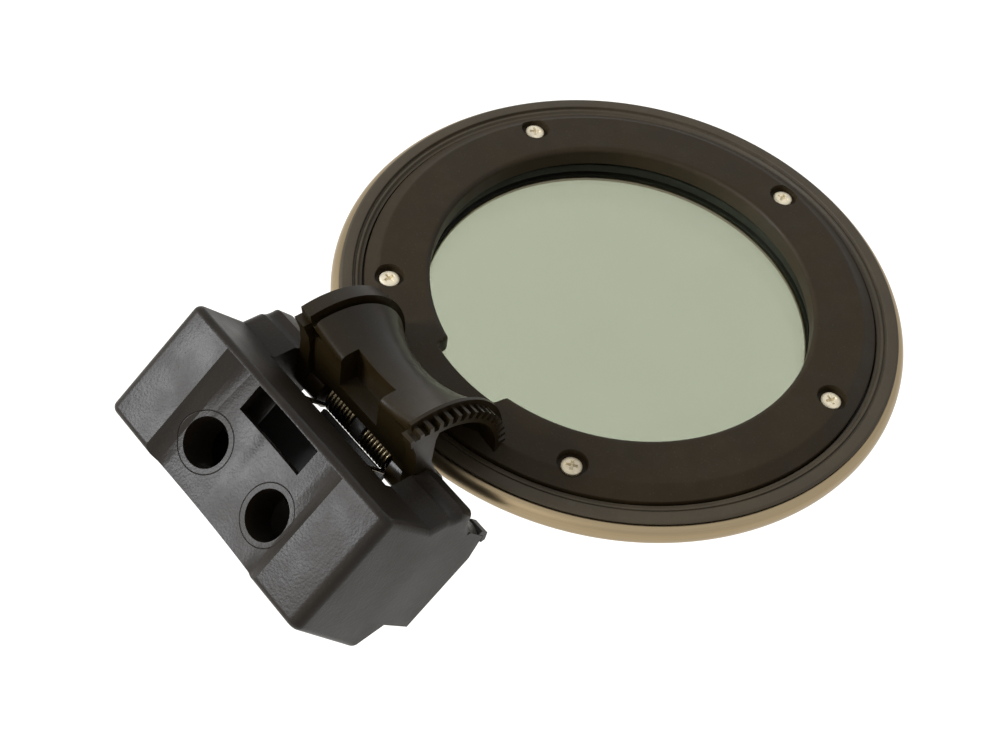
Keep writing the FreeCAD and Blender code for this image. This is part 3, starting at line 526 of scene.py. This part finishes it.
@dataclass(frozen=True)
class Moulding:
    """A moulded plastic or rubber surface: grain, mottled colour and a little dust.

    Its edges are rubbed where a worn colour is given. Where a ring depth is given, in parts of the
    grain's depth, a fine ring is sunk round each of the housing's sockets.
    """

    name: str
    colour: tuple[float, float, float]
    roughness: float
    grain_scale: float
    grain_depth: float
    specular: float = 0.4
    worn: tuple[float, float, float] | None = None
    rubbed: float = 0.4
    mottle_scale: float = 55.0
    dust: float = 0.03
    dust_colour: tuple[float, float, float] = (0.42, 0.39, 0.34)
    ring_depth: float = 0.0

    def build(self) -> bpy.types.Material:
        """The finish as a material.

        Returns:
            The new material.
        """
        material, w, shader, where = start_material(self.name)
        grain = use_group(w, EFFECTS.grain, where, Scale=self.grain_scale,
                          Mottle_Scale=self.mottle_scale)
        dust = use_group(w, EFFECTS.dust, where, Amount=self.dust)
        dark = tuple(c * 0.86 for c in self.colour)
        light = tuple(c * 1.12 for c in self.colour)
        base = w.mix(grain.outputs["Mottle"], dark, light)
        rough = w.math("ADD", self.roughness - 0.05, w.math("MULTIPLY", grain.outputs["Mottle"], 0.1))
        if self.worn:
            wear = use_group(w, EFFECTS.wear, where)
            base = w.mix(w.math("MULTIPLY", wear.outputs["Mask"], self.rubbed), base, self.worn)
            rough = w.math("SUBTRACT", rough, w.math("MULTIPLY", wear.outputs["Mask"], 0.12))
        w.join(w.mix(dust.outputs["Mask"], base, self.dust_colour), shader.inputs["Base Color"])
        w.join(w.math("ADD", rough, w.math("MULTIPLY", dust.outputs["Mask"], 0.3), clamp=True),
               shader.inputs["Roughness"])
        shader.inputs["Specular IOR Level"].default_value = self.specular
        height = grain.outputs["Height"]
        if self.ring_depth:
            ring = use_group(w, EFFECTS.rings, where)
            height = w.math("SUBTRACT", height, w.math("MULTIPLY", ring.outputs["Mask"], self.ring_depth))
        bump(w, height, shader, self.grain_depth)
        return material


@dataclass(frozen=True)
class SpunSteel:
    """Satin stainless steel with fine circular turning marks and a faint smudged tone."""

    name: str
    colour: tuple[float, float, float]
    roughness: float
    mark_depth: float

    def build(self) -> bpy.types.Material:
        """The finish as a material.

        Returns:
            The new material.
        """
        material, w, shader, where = start_material(self.name)
        marks = use_group(w, EFFECTS.turning, where)
        smudge = w.ramp(w.noise(where, 38.0, 4.0, 0.6), 0.35, 0.75)
        dull = tuple(c * 0.9 for c in self.colour)
        w.join(w.mix(marks.outputs["Tone"], dull, self.colour), shader.inputs["Base Color"])
        rough = w.math("ADD", self.roughness, w.math("MULTIPLY", smudge, 0.08))
        rough = w.math("ADD", rough, w.math("MULTIPLY", marks.outputs["Height"], 0.06))
        w.join(rough, shader.inputs["Roughness"])
        shader.inputs["Metallic"].default_value = 1.0
        bump(w, marks.outputs["Height"], shader, self.mark_depth)
        return material


@dataclass(frozen=True)
class BrightSteel:
    """Plated or drawn steel for screws, pin and springs: tiny pits and a warm, mottled tone."""

    name: str
    colour: tuple[float, float, float]
    roughness: float
    metallic: float = 1.0
    pit_depth: float = 0.000012

    def build(self) -> bpy.types.Material:
        """The finish as a material.

        Returns:
            The new material.
        """
        material, w, shader, where = start_material(self.name)
        grain = use_group(w, EFFECTS.grain, where, Scale=2600.0, Mottle_Scale=240.0)
        dull = tuple(c * 0.72 for c in self.colour)
        w.join(w.mix(grain.outputs["Mottle"], dull, self.colour), shader.inputs["Base Color"])
        w.join(w.math("ADD", self.roughness, w.math("MULTIPLY", grain.outputs["Mottle"], 0.1)),
               shader.inputs["Roughness"])
        shader.inputs["Metallic"].default_value = self.metallic
        bump(w, grain.outputs["Height"], shader, self.pit_depth)
        return material


@dataclass(frozen=True)
class FloatGlass:
    """A green-tinted pane that lets light through, with faint smears in its polish."""

    name: str
    tint: tuple[float, float, float]
    shade: tuple[float, float, float]

    def build(self) -> bpy.types.Material:
        """The finish as a material.

        Returns:
            The new material.
        """
        material, w, shader, where = start_material(self.name)
        smear = w.ramp(w.noise(where, 26.0, 5.0, 0.65), 0.45, 0.8)
        w.join(w.math("ADD", 0.015, w.math("MULTIPLY", smear, 0.05)), shader.inputs["Roughness"])
        w.join(w.mix(smear, self.tint, tuple(c * 0.985 for c in self.tint)), shader.inputs["Base Color"])
        shader.inputs["IOR"].default_value = 1.5
        shader.inputs["Transmission Weight"].default_value = 1.0
        clear = w.add("ShaderNodeBsdfTransparent")
        clear.inputs["Color"].default_value = (*self.shade, 1.0)
        path = w.add("ShaderNodeLightPath")
        w.blend(path.outputs["Is Shadow Ray"], shader.outputs[0], clear.outputs[0])
        return material


@dataclass(frozen=True)
class Palette:
    """Every finish of the lid, built once."""

    trim: SpunSteel = SpunSteel("satin_trim_steel", (0.34, 0.265, 0.16), 0.32, 0.000006)
    frame: Moulding = Moulding(
        "frame_moulding", (0.023, 0.0155, 0.0065), 0.5, 1500.0, 0.00003, specular=0.18)
    arm: Moulding = Moulding(
        "arm_moulding", (0.016, 0.0105, 0.0035), 0.33, 1900.0, 0.000012, specular=0.22)
    housing: Moulding = Moulding(
        "housing_moulding", (0.0135, 0.0105, 0.0075), 0.4, 1100.0, 0.00006, specular=0.2,
        ring_depth=4.0)
    inner: Moulding = Moulding("inner_moulding", (0.008, 0.0075, 0.0065), 0.5, 1500.0, 0.00002)
    bush: Moulding = Moulding("bush_plastic_finish", (0.012, 0.011, 0.01), 0.4, 2200.0, 0.00001)
    gasket: Moulding = Moulding(
        "gasket_rubber_finish", (0.055, 0.044, 0.028), 0.58, 1100.0, 0.00003, specular=0.35,
        worn=(0.06, 0.05, 0.035))
    seal: Moulding = Moulding(
        "seal_rubber_finish", (0.012, 0.013, 0.01), 0.6, 1500.0, 0.00002, worn=(0.03, 0.03, 0.03))
    glass: FloatGlass = FloatGlass("pane_float_glass", (0.57, 0.6, 0.51), (0.86, 0.9, 0.84))
    screw: BrightSteel = BrightSteel("screw_plating", (0.97, 0.89, 0.69), 0.38, 0.3)
    wire: BrightSteel = BrightSteel("spring_wire", (0.16, 0.13, 0.08), 0.24)


PALETTE = Palette()
BUILT: dict[str, bpy.types.Material] = {}


def dress(piece: bpy.types.Object, finish: object) -> None:
    """Give a piece its finish in its object's material slots.

    Args:
        piece: the object.
        finish: one of the palette's finishes.
    """
    if finish.name not in BUILT:
        BUILT[finish.name] = finish.build()
    if not piece.data.materials:
        piece.data.materials.append(BUILT[finish.name])
    for holder in piece.material_slots:
        holder.link = "OBJECT"
        holder.material = BUILT[finish.name]


def settle(piece: bpy.types.Object, body: str, nodes: Sequence[str], finish: object) -> None:
    """Ride a new piece on its body, hide the CAD nodes it stands for, and dress it.

    Args:
        piece: the new object.
        body: the CAD body it rides on.
        nodes: CAD nodes it replaces.
        finish: its finish.
    """
    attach(piece, body)
    if nodes:
        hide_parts(*nodes)
    dress(piece, finish)
    LOG.info("%s: %d faces on %s", piece.name, len(piece.data.polygons), body)


def refined(node: str, name: str, round_by: float, segments: int = 2, limit: float = 30.0,
            mouths: float = 0.0) -> bpy.types.Object:
    """A copy of a CAD node with its triangles merged and its sharp edges rounded.

    Args:
        node: the CAD node copied.
        name: the new piece's name.
        round_by: the rounding's width in millimetres.
        segments: steps of the rounding.
        limit: edges turning by less than this many degrees aren't rounded.
        mouths: the wider rounding of the sockets' mouths in millimetres, on the housing only.

    Returns:
        The new object.
    """
    mesh = frame["nodes"][node].data.copy()
    shell = bmesh.new()
    shell.from_mesh(mesh)
    bmesh.ops.remove_doubles(shell, verts=shell.verts, dist=3e-6)
    bmesh.ops.dissolve_limit(shell, angle_limit=math.radians(0.6), verts=shell.verts, edges=shell.edges)
    shell.to_mesh(mesh)
    shell.free()
    mesh.materials.clear()
    piece = finish_mesh(name, mesh, limit)
    if mouths:
        soften_mouths(piece, mouths)
    if round_by:
        bevel = piece.modifiers.new("rounding", "BEVEL")
        bevel.width = round_by * MM
        bevel.segments = segments
        bevel.limit_method = "ANGLE"
        bevel.angle_limit = math.radians(limit)
        bevel.harden_normals = True
        bevel.use_clamp_overlap = True
    return piece


def soften_mouths(piece: bpy.types.Object, width: float) -> None:
    """Round the mouths of the housing's two sockets more widely than its other edges.

    A mouth edge has both ends at the socket's radius from its axis and on the front face.

    Args:
        piece: the housing's copy.
        width: the rounding's width in millimetres.
    """
    mesh = piece.data
    points = np.empty(len(mesh.vertices) * 3)
    mesh.vertices.foreach_get("co", points)
    local = (points.reshape(-1, 3) / MM - PIVOT) @ HOUSING_TURN
    away = np.hypot(np.abs(local[:, 0]) - SOCKET[0], local[:, 1] - SOCKET[1])
    on_mouth = (np.abs(away - SOCKET_RADIUS) < 0.1) & (local[:, 2] > SOCKET[2])
    weight = mesh.attributes.new("bevel_weight_edge", "FLOAT", "EDGE")
    ends = np.array([edge.vertices[:] for edge in mesh.edges])
    weight.data.foreach_set("value", on_mouth[ends].all(1).astype(float))
    bevel = piece.modifiers.new("mouths", "BEVEL")
    bevel.width, bevel.segments, bevel.limit_method = width * MM, 4, "WEIGHT"
    bevel.harden_normals = True


# ------------------------------------------------------------------ the lid
@dataclass
class LidShell:
    """The turned outer pieces of the lid: steel trim and rubber gasket. Millimetres."""

    depth: float = 18.0
    trim_radius: float = 102.8
    foot_radius: float = 78.0
    opening: float = 69.5
    wall: float = 1.2
    dish: float = 5.4
    segments: int = 480
    gasket_segments: int = 720
    ticks: tuple[float, ...] = (-62.0, 28.0, 152.0)
    tick_radius: float = 97.0
    tick_depth: float = 0.08
    tick_width: float = 0.45

    def trim_profile(self) -> np.ndarray:
        """The trim's closed section: flat foot, dished side and a full side that turns in at the top.

        Returns:
            Radius and height points.
        """
        side = np.linspace(0, 1, 16)[1:, None]
        foot = np.array([self.foot_radius, 0.0])
        shoulder = np.array([self.trim_radius - 1.6, self.depth - 8.2])
        chord = shoulder - foot
        out = np.array([chord[1], -chord[0]]) / np.linalg.norm(chord)
        dish = foot + chord * side + out * (self.dish * side * (1 - side))
        curl = np.radians(np.linspace(-24, 78, 22))[:, None]
        middle = np.array([self.trim_radius - 3.4, self.depth - 5.6])
        swell = middle + np.hstack([3.3 * np.cos(curl), 4.3 * np.sin(curl)])
        back = swell[::-1] - np.array([self.wall, 0.4]) * np.linspace(0.75, 1.0, 22)[:, None]
        inner = dish[::-1] - out * self.wall
        return np.vstack([[[self.opening, 0.0]], foot[None], dish, swell, back, inner,
                          [[self.foot_radius - 0.4, self.wall]], [[self.opening, self.wall]]])

    def gasket_grid(self) -> np.ndarray:
        """The gasket: a flat band overhanging the trim's edge, with a thin groove and a low inner lip.

        Three faint mould ticks cross its top: each sinks it by a narrow Gaussian of the distance.

        Returns:
            A grid of points in metres.
        """
        h = self.depth
        profile = rounded([
            (91.9, 13.1, 0.2), (98.3, 13.1, 0.2), (98.3, h - 1.1, 0.1), (99.7, h - 1.1, 0.25),
            (99.75, h - 0.45, 0.5), (98.9, h, 0.7), (95.4, h, 0.35), (95.15, h - 1.2, 0.15),
            (94.5, h - 1.2, 0.15), (94.3, h - 0.7, 0.2), (93.6, h - 0.7, 0.3), (92.9, h - 1.5, 0.5),
            (92.0, h - 1.6, 0.2)], 5)
        grid = turned(profile, self.gasket_segments)
        angle = np.degrees(np.arctan2(grid[..., 1], grid[..., 0]))
        for tick in self.ticks:
            apart = np.radians(np.abs((angle - tick + 180) % 360 - 180)) * self.tick_radius
            sunk = self.tick_depth * np.exp(-(apart / self.tick_width) ** 2)
            grid[..., 2] -= sunk * (grid[..., 2] > h - 0.3)
        return grid * MM

    def build(self) -> None:
        """Make the trim and the gasket."""
        steel = turned(self.trim_profile(), self.segments) * MM
        trim = make_piece("steel_trim", [(steel, True, True)], 40)
        settle(trim, "lid", ["trim_ring"], PALETTE.trim)
        gasket = make_piece("rubber_gasket", [(self.gasket_grid(), True, True)], 50)
        settle(gasket, "lid", ["lid_gasket"], PALETTE.gasket)


@dataclass
class WindowFrame:
    """The black frame round the window, with its bevel, notch and screw wells. Millimetres."""

    opening: float = 68.5
    notch_reach: float = 73.5
    notch_half: float = 12.6
    top: float = 20.5
    low: float = 13.3
    top_radius: float = 86.3
    edge_radius: float = 91.3
    edge_top: float = 17.4
    screw_circle: float = 82.6
    well_radius: float = 5.2
    well_depth: float = 2.6
    screws: int = 5
    screw_seat: float = 3.3
    screw_radius: float = 3.5

    def angles(self) -> np.ndarray:
        """Columns of the grid: one in two degrees, finer at the notch's sides and at the screws' wells.

        Returns:
            The columns' angles in radians.
        """
        fine = [np.arange(-4.0, 4.05, 0.1) + 90 + 360 / self.screws * i for i in range(self.screws)]
        fine += [np.arange(-3, 3.1, 0.3) + 270 + side * self.notch_half for side in (-1, 1)]
        every = np.concatenate([np.arange(0, 360, 2.0), *fine]) % 360
        return np.radians(np.unique(np.round(every, 3)))

    def screw_places(self) -> np.ndarray:
        """Centres of the screws, one row each: x, y."""
        a = np.radians(90 + 360 / self.screws * np.arange(self.screws))
        return self.screw_circle * np.stack([np.cos(a), np.sin(a)], -1)

    def grid(self) -> np.ndarray:
        """The frame as a ring: its section runs from the inner wall over the top to the skirt.

        The inner wall's radius steps out by a smooth ramp inside the notch, and the share of that
        step fades to nothing by a radius of 78 mm. A screw well is a smooth ramp of the distance to
        the screw, limited so that it never reaches below its floor.

        Returns:
            A grid of points in metres.
        """
        a = self.angles()
        bite = np.radians(np.array([self.notch_half - 1.0, self.notch_half + 1.0]))
        off = np.abs((a - 1.5 * np.pi + np.pi) % (2 * np.pi) - np.pi)
        notch = (self.notch_reach - self.opening) * (1 - smoothstep(bite[0], bite[1], off))
        lip = np.radians(np.linspace(180, 90, 9))
        edge = np.stack([self.opening + 1.9 + 1.9 * np.cos(lip), self.top - 1.9 + 1.9 * np.sin(lip)], -1)
        flat = np.concatenate([np.arange(self.opening + 2.6, 76.4, 0.8),
                               np.arange(77.0, self.top_radius - 0.5, 0.14)])[:, None]
        flat = np.hstack([flat, np.full_like(flat, self.top)])
        t = np.linspace(0, 1, 18)[:, None]
        turn = np.array([[self.top_radius - 0.35, self.top], [self.top_radius + 0.1, self.top - 0.1]])
        bevel = ((1 - t) * [self.top_radius + 0.5, self.top - 0.3]
                 + t * [self.edge_radius - 0.2, self.edge_top + 0.1])
        foot = np.array([[self.edge_radius, self.edge_top - 0.2], [self.edge_radius, 15.4],
                         [self.edge_radius, self.low], [78.0, self.low], [74.2, self.low]])
        profile = np.vstack([[[self.opening, self.low]], edge, flat, turn, bevel, foot])
        r, z = profile[:, :1] + 0 * a, profile[:, 1:] + 0 * a
        share = np.clip((78.0 - profile[:, :1]) / 9.5, 0, 1)
        r = r + notch * np.where(profile[:, 1:] > self.low + 0.1, share, (profile[:, :1] < 70) * 1.0)
        x, y = r * np.cos(a), r * np.sin(a)
        top_side = (profile[:, 1:] > self.edge_top - 0.5) & (profile[:, :1] > 74)
        for cx, cy in self.screw_places():
            near = np.hypot(x - cx, y - cy)
            sink = (self.top - z) + (self.well_depth - (self.top - z)) * (
                1 - smoothstep(self.well_radius - 0.25, self.well_radius + 0.05, near))
            z = np.where(top_side & (near < self.well_radius + 0.3), np.minimum(z, self.top - sink), z)
        return np.stack([x, y, z], -1) * MM

    def screw_grid(self, x: float, y: float, turn: float) -> list[tuple[np.ndarray, bool, bool]]:
        """One pan-head screw: a cap with a cross recess, and its shank below.

        The cap is nearly flat and turns down towards its rim. The recess is cut out of it: its depth
        is a ramp of the distance to the nearer arm of the cross and fades towards the arm's end.

        Args:
            x: place across, in millimetres.
            y: place along, in millimetres.
            turn: the recess's angle in degrees.

        Returns:
            The grids of the cap and the shank.
        """
        seat, radius = self.top - self.screw_seat, self.screw_radius
        r = np.concatenate([np.linspace(0, 2.4, 21), np.linspace(2.5, radius, 9)])[:, None]
        a = np.radians(np.arange(0, 360, 3.0))[None]
        px, py = r * np.cos(a), r * np.sin(a)
        height = 2.0 - 0.5 * (r / radius) ** 5 + 0 * a
        c, s = math.cos(math.radians(turn)), math.sin(math.radians(turn))
        u, v = np.abs(px * c + py * s), np.abs(-px * s + py * c)
        arm = np.minimum(u, v)
        reach = np.maximum(u, v)
        cut = (1 - smoothstep(0.34, 0.52, arm)) * (1 - smoothstep(1.5, 2.1, reach))
        height = height - np.maximum(cut * 1.1, (1 - smoothstep(0.7, 1.0, np.hypot(u, v))) * 1.25)
        cap = np.stack([px + x, py + y, seat + height], -1)
        wall = np.stack([radius * np.cos(a) + x + 0 * a, radius * np.sin(a) + y, seat + 0.0 * a], -1)
        wall = np.concatenate([cap[-1:], wall], 0)
        shank = turned(np.array([[radius, 0.0], [1.75, 0.0], [1.75, -9.5], [0.5, -12.8], [0.0, -13.0]]), 24)
        shank = shank + np.array([x, y, seat])
        return [(cap * MM, False, True), (wall * MM, False, True), (shank * MM, False, True)]

    def build(self) -> None:
        """Make the frame and its screws."""
        ring = make_piece("window_surround", [(self.grid(), True, True)], 38)
        settle(ring, "lid", ["window_frame"], PALETTE.frame)
        grids = []
        for i, (x, y) in enumerate(self.screw_places()):
            grids += self.screw_grid(x, y, 18 + 37 * i)
        screws = make_piece("recessed_screws", grids, 40)
        settle(screws, "lid", ["frame_screws"], PALETTE.screw)


@dataclass
class Glazing:
    """The two panes with their spacer, seals and carrier. Millimetres."""

    radius: float = 76.0
    thick: float = 3.5
    outer_low: float = 2.0
    inner_low: float = 9.0
    seal: float = 0.8
    width: float = 5.5
    segments: int = 360

    def ring(self, name: str, low: float, high: float) -> bpy.types.Object:
        """A plain ring with slightly rounded edges, as wide as the seals.

        Args:
            name: the piece's name.
            low: its lower level in millimetres.
            high: its upper level in millimetres.

        Returns:
            The new object.
        """
        inner = self.radius - self.width
        profile = rounded([(inner, low, 0.25), (self.radius, low, 0.1), (self.radius, high, 0.1),
                           (inner, high, 0.25)], 4)
        return make_piece(name, [(turned(profile, self.segments) * MM, True, True)], 45)

    def build(self) -> None:
        """Make the panes, their spacer and seals."""
        for name, low in (("outer_pane", self.outer_low), ("inner_pane", self.inner_low)):
            high = low + self.thick
            profile = np.array([
                [0.0, low], [self.radius * 0.5, low], [self.radius - 0.5, low], [self.radius, low + 0.4],
                [self.radius, high - 0.4], [self.radius - 0.5, high], [self.radius * 0.5, high], [0.0, high]])
            pane = make_piece(name, [(turned(profile, self.segments) * MM, False, True)], 30)
            settle(pane, "lid", [name.replace("pane", "glass")], PALETTE.glass)
        spacer = self.ring("spacer_ring", self.outer_low + self.thick, self.inner_low)
        settle(spacer, "lid", ["pane_spacer"], PALETTE.inner)
        for side, low in (("outer", self.outer_low - self.seal), ("inner", self.inner_low + self.thick)):
            seal = self.ring(f"{side}_pane_seal", low, low + self.seal)
            settle(seal, "lid", [f"{side}_glass_seal"], PALETTE.seal)
        dress(frame["nodes"]["lid_carrier"], PALETTE.inner)


# ------------------------------------------------------------------ hinge and housing
@dataclass
class HingeArm:
    """The arched arm, its bushes, and the springs, spool and pin it turns on. Millimetres."""

    wire: float = 0.76
    coil_radius: float = 5.04
    pitch: float = 1.6
    turns: int = 8
    coil_start: float = 3.6
    leg: float = 26.5
    steps: int = 40
    sides: int = 12

    def spring_grid(self, side: Side) -> np.ndarray:
        """A torsion spring: a wire along a helix about the pin, then a straight leg off it.

        The centreline is (start + pitch t, -R cos 2 pi t, -R sin 2 pi t) and then runs on along the
        tangent. The wire's circle is carried on each point's own radial and binormal directions.

        Args:
            side: the end of the hinge that the spring sits at.

        Returns:
            A grid of points in metres.
        """
        t = np.linspace(0, self.turns, self.turns * self.steps + 1)
        outer = self.coil_start + self.pitch * self.turns
        x = outer - self.pitch * t
        a = 2 * np.pi * t
        radial = np.stack([0 * a, -np.cos(a), -np.sin(a)], -1)
        coil = self.coil_radius * radial
        centre = np.stack([side.value * x, coil[:, 1], coil[:, 2]], -1)
        run = np.linspace(self.leg, 0.4, 24)
        ones = np.ones_like(run)
        leg = np.stack([side.value * outer * ones, -self.coil_radius * ones, run], -1)
        path = np.concatenate([leg, centre])
        out = np.concatenate([np.repeat(radial[:1], len(run), 0), radial])
        along = np.gradient(path, axis=0)
        along /= np.linalg.norm(along, axis=1)[:, None]
        beside = np.cross(along, out)
        ring = np.linspace(0, 2 * np.pi, self.sides, endpoint=False)[None, :, None]
        tube = path[:, None] + self.wire * (np.cos(ring) * out[:, None] + np.sin(ring) * beside[:, None])
        return place(tube, PIVOT, HOUSING_TURN)

    def build(self) -> None:
        """Make the arm, its springs and the small turned pieces on the pin."""
        arm = refined("hinge_arm", "waisted_arm", 0.28, limit=32)
        settle(arm, "lid", ["hinge_arm"], PALETTE.arm)
        for side in Side:
            grid = self.spring_grid(side)
            spring = make_piece(side.of("coil_spring"), [(grid, False, True)], 60, fill_ends=True)
            settle(spring, "housing", [side.of("torsion_spring")], PALETTE.wire)
            dress(frame["nodes"][side.of("hinge_bush")], PALETTE.bush)
        pin = rounded([(0.0, -45.0), (2.0, -45.0, 0.4), (2.0, 45.0, 0.4), (0.0, 45.0)], 5)
        rod = make_piece("hinge_rod", [(place(turned(pin, 64), PIVOT, ALONG_X), False, True)], 40)
        settle(rod, "housing", ["hinge_pin"], PALETTE.wire)
        drum = rounded([
            (2.05, -17.6), (3.2, -17.6, 0.2), (3.2, -2.6, 0.2), (5.75, -2.6, 0.4),
            (5.75, 2.6, 0.4), (3.2, 2.6, 0.2), (3.2, 17.6, 0.2), (2.05, 17.6)], 4)
        spool = make_piece("spring_drum", [(place(turned(drum, 96), PIVOT, ALONG_X), True, True)], 40)
        settle(spool, "housing", ["spring_spool"], PALETTE.bush)


@dataclass
class MountHousing:
    """The moulded housing with its cover, cover screws and side clips."""

    edge: float = 0.5
    mouths: float = 1.4

    def build(self) -> None:
        """Make the housing's shell and dress the small pieces on it."""
        shell = refined("mount_housing", "housing_shell", self.edge, 3, limit=34, mouths=self.mouths)
        settle(shell, "housing", ["mount_housing"], PALETTE.housing)
        cover = refined("housing_cover", "rear_cover", 0.0, limit=34)
        settle(cover, "housing", ["housing_cover"], PALETTE.inner)
        for side in Side:
            clip = refined(side.of("side_clip"), side.of("snap_clip"), 0.25, limit=34)
            settle(clip, "housing", [side.of("side_clip")], PALETTE.inner)
        dress(frame["nodes"]["cover_screws"], PALETTE.screw)


# ------------------------------------------------------------------ stage
def seen_directly(w: Wiring) -> bpy.types.NodeSocket:
    """Whether a ray sees the white surround: camera, mirror and transmitted rays do.

    Args:
        w: the tree's wiring helper.

    Returns:
        A socket that is 1 for such a ray and 0 for other light.
    """
    path = w.add("ShaderNodeLightPath")
    mirrored = w.math("MAXIMUM", path.outputs["Is Glossy Ray"], path.outputs["Is Transmission Ray"])
    return w.math("MAXIMUM", path.outputs["Is Camera Ray"], mirrored)


@dataclass
class Studio:
    """White floor, soft lamps and the camera."""

    camera_at: tuple[float, float, float] = (0.24275, -0.32482, 0.44077)
    look: tuple[float, float, float] = (-0.42931, 0.47721, -0.76679)
    right: tuple[float, float, float] = (0.63217, 0.76513, 0.12224)
    lens: float = 59.36
    level: float = -0.205

    def camera(self) -> None:
        """Place the camera along its line of sight."""
        data = bpy.data.cameras.new("camera")
        data.lens, data.sensor_width = self.lens, 36.0
        data.clip_start, data.clip_end = 0.01, 50.0
        seen = bpy.data.objects.new("camera", data)
        back, right = -Vector(self.look).normalized(), Vector(self.right).normalized()
        axes = Matrix((right, back.cross(right).normalized(), back)).transposed()
        seen.matrix_world = Matrix.Translation(self.camera_at) @ axes.to_4x4()
        bpy.context.scene.collection.objects.link(seen)
        bpy.context.scene.camera = seen

    def floor(self) -> None:
        """A wide white floor, low enough for the lid to swing down from its housing and clear it.

        Rays that see it directly meet a bright white; other light meets a darker, warmer one.
        """
        x, y = np.meshgrid(np.linspace(-6, 6, 25), np.linspace(-6, 6, 25), indexing="ij")
        plane = np.stack([x, y, np.full_like(x, self.level)], -1)
        ground = make_piece("floor", [(plane, False, False)], 30)
        if ground.data.polygons[0].normal.z < 0:
            ground.data.flip_normals()
        material, w, shader, _ = start_material("floor_white")
        shader.inputs["Base Color"].default_value = (0.35, 0.35, 0.35, 1.0)
        shader.inputs["Roughness"].default_value = 0.9
        shader.inputs["Specular IOR Level"].default_value = 0.0
        glow = w.add("ShaderNodeEmission", Color=(1.0, 0.99, 0.97, 1.0), Strength=0.92)
        dark = w.add("ShaderNodeBsdfDiffuse", Color=(0.6, 0.55, 0.47, 1.0))
        bright = w.add("ShaderNodeAddShader")
        w.join(glow.outputs[0], bright.inputs[0])
        w.join(shader.outputs[0], bright.inputs[1])
        w.blend(seen_directly(w), dark.outputs[0], bright.outputs[0])
        ground.data.materials.append(material)

    def lamp(self, name: str, at: Sequence[float], aim: Sequence[float], size: float, power: float,
             colour: Sequence[float] = (1.0, 0.94, 0.86)) -> None:
        """A square area lamp aimed at a point.

        Args:
            name: the lamp's name.
            at: its place in metres.
            aim: the point it faces.
            size: its side in metres.
            power: its power in watts.
            colour: its colour.
        """
        data = bpy.data.lights.new(name, "AREA")
        data.size, data.energy, data.color = size, power, colour
        lamp = bpy.data.objects.new(name, data)
        lamp.location = at
        lamp.rotation_mode = "QUATERNION"
        lamp.rotation_quaternion = (Vector(aim) - Vector(at)).to_track_quat("-Z", "Y")
        bpy.context.scene.collection.objects.link(lamp)

    def light(self) -> None:
        """A warm soft world, white to rays that see it directly, and two lamps.

        The key lamp stands at the front left and a weak fill at the front right.
        """
        world = bpy.data.worlds.new("studio")
        world.use_nodes = True
        w = Wiring(world.node_tree)
        soft = world.node_tree.nodes["Background"]
        soft.inputs["Color"].default_value = (1.0, 0.9, 0.76, 1.0)
        soft.inputs["Strength"].default_value = 0.4
        white = w.add("ShaderNodeBackground", Color=(1.0, 1.0, 1.0, 1.0), Strength=1.0)
        w.blend(seen_directly(w), soft.outputs[0], white.outputs[0])
        bpy.context.scene.world = world
        self.lamp("key", (-0.72, -1.2, 0.76), (0, -0.08, 0), 0.5, 24.0, (0.94, 0.96, 1.0))
        self.lamp("fill", (0.5, -1.3, 0.6), (0, 0, 0), 0.9, 2.0)

    def build(self) -> None:
        """Set the view and build the stage."""
        bpy.context.scene.view_settings.view_transform = "Standard"
        self.camera()
        self.floor()
        self.light()


def main() -> None:
    """Build the stage, then every sub-assembly."""
    logging.basicConfig(level=logging.INFO, format="%(message)s")
    for part in (Studio(), LidShell(), WindowFrame(), Glazing(), HingeArm(), MountHousing()):
        LOG.info("building %s", type(part).__name__)
        part.build()


if __name__ == "__main__":
    main()
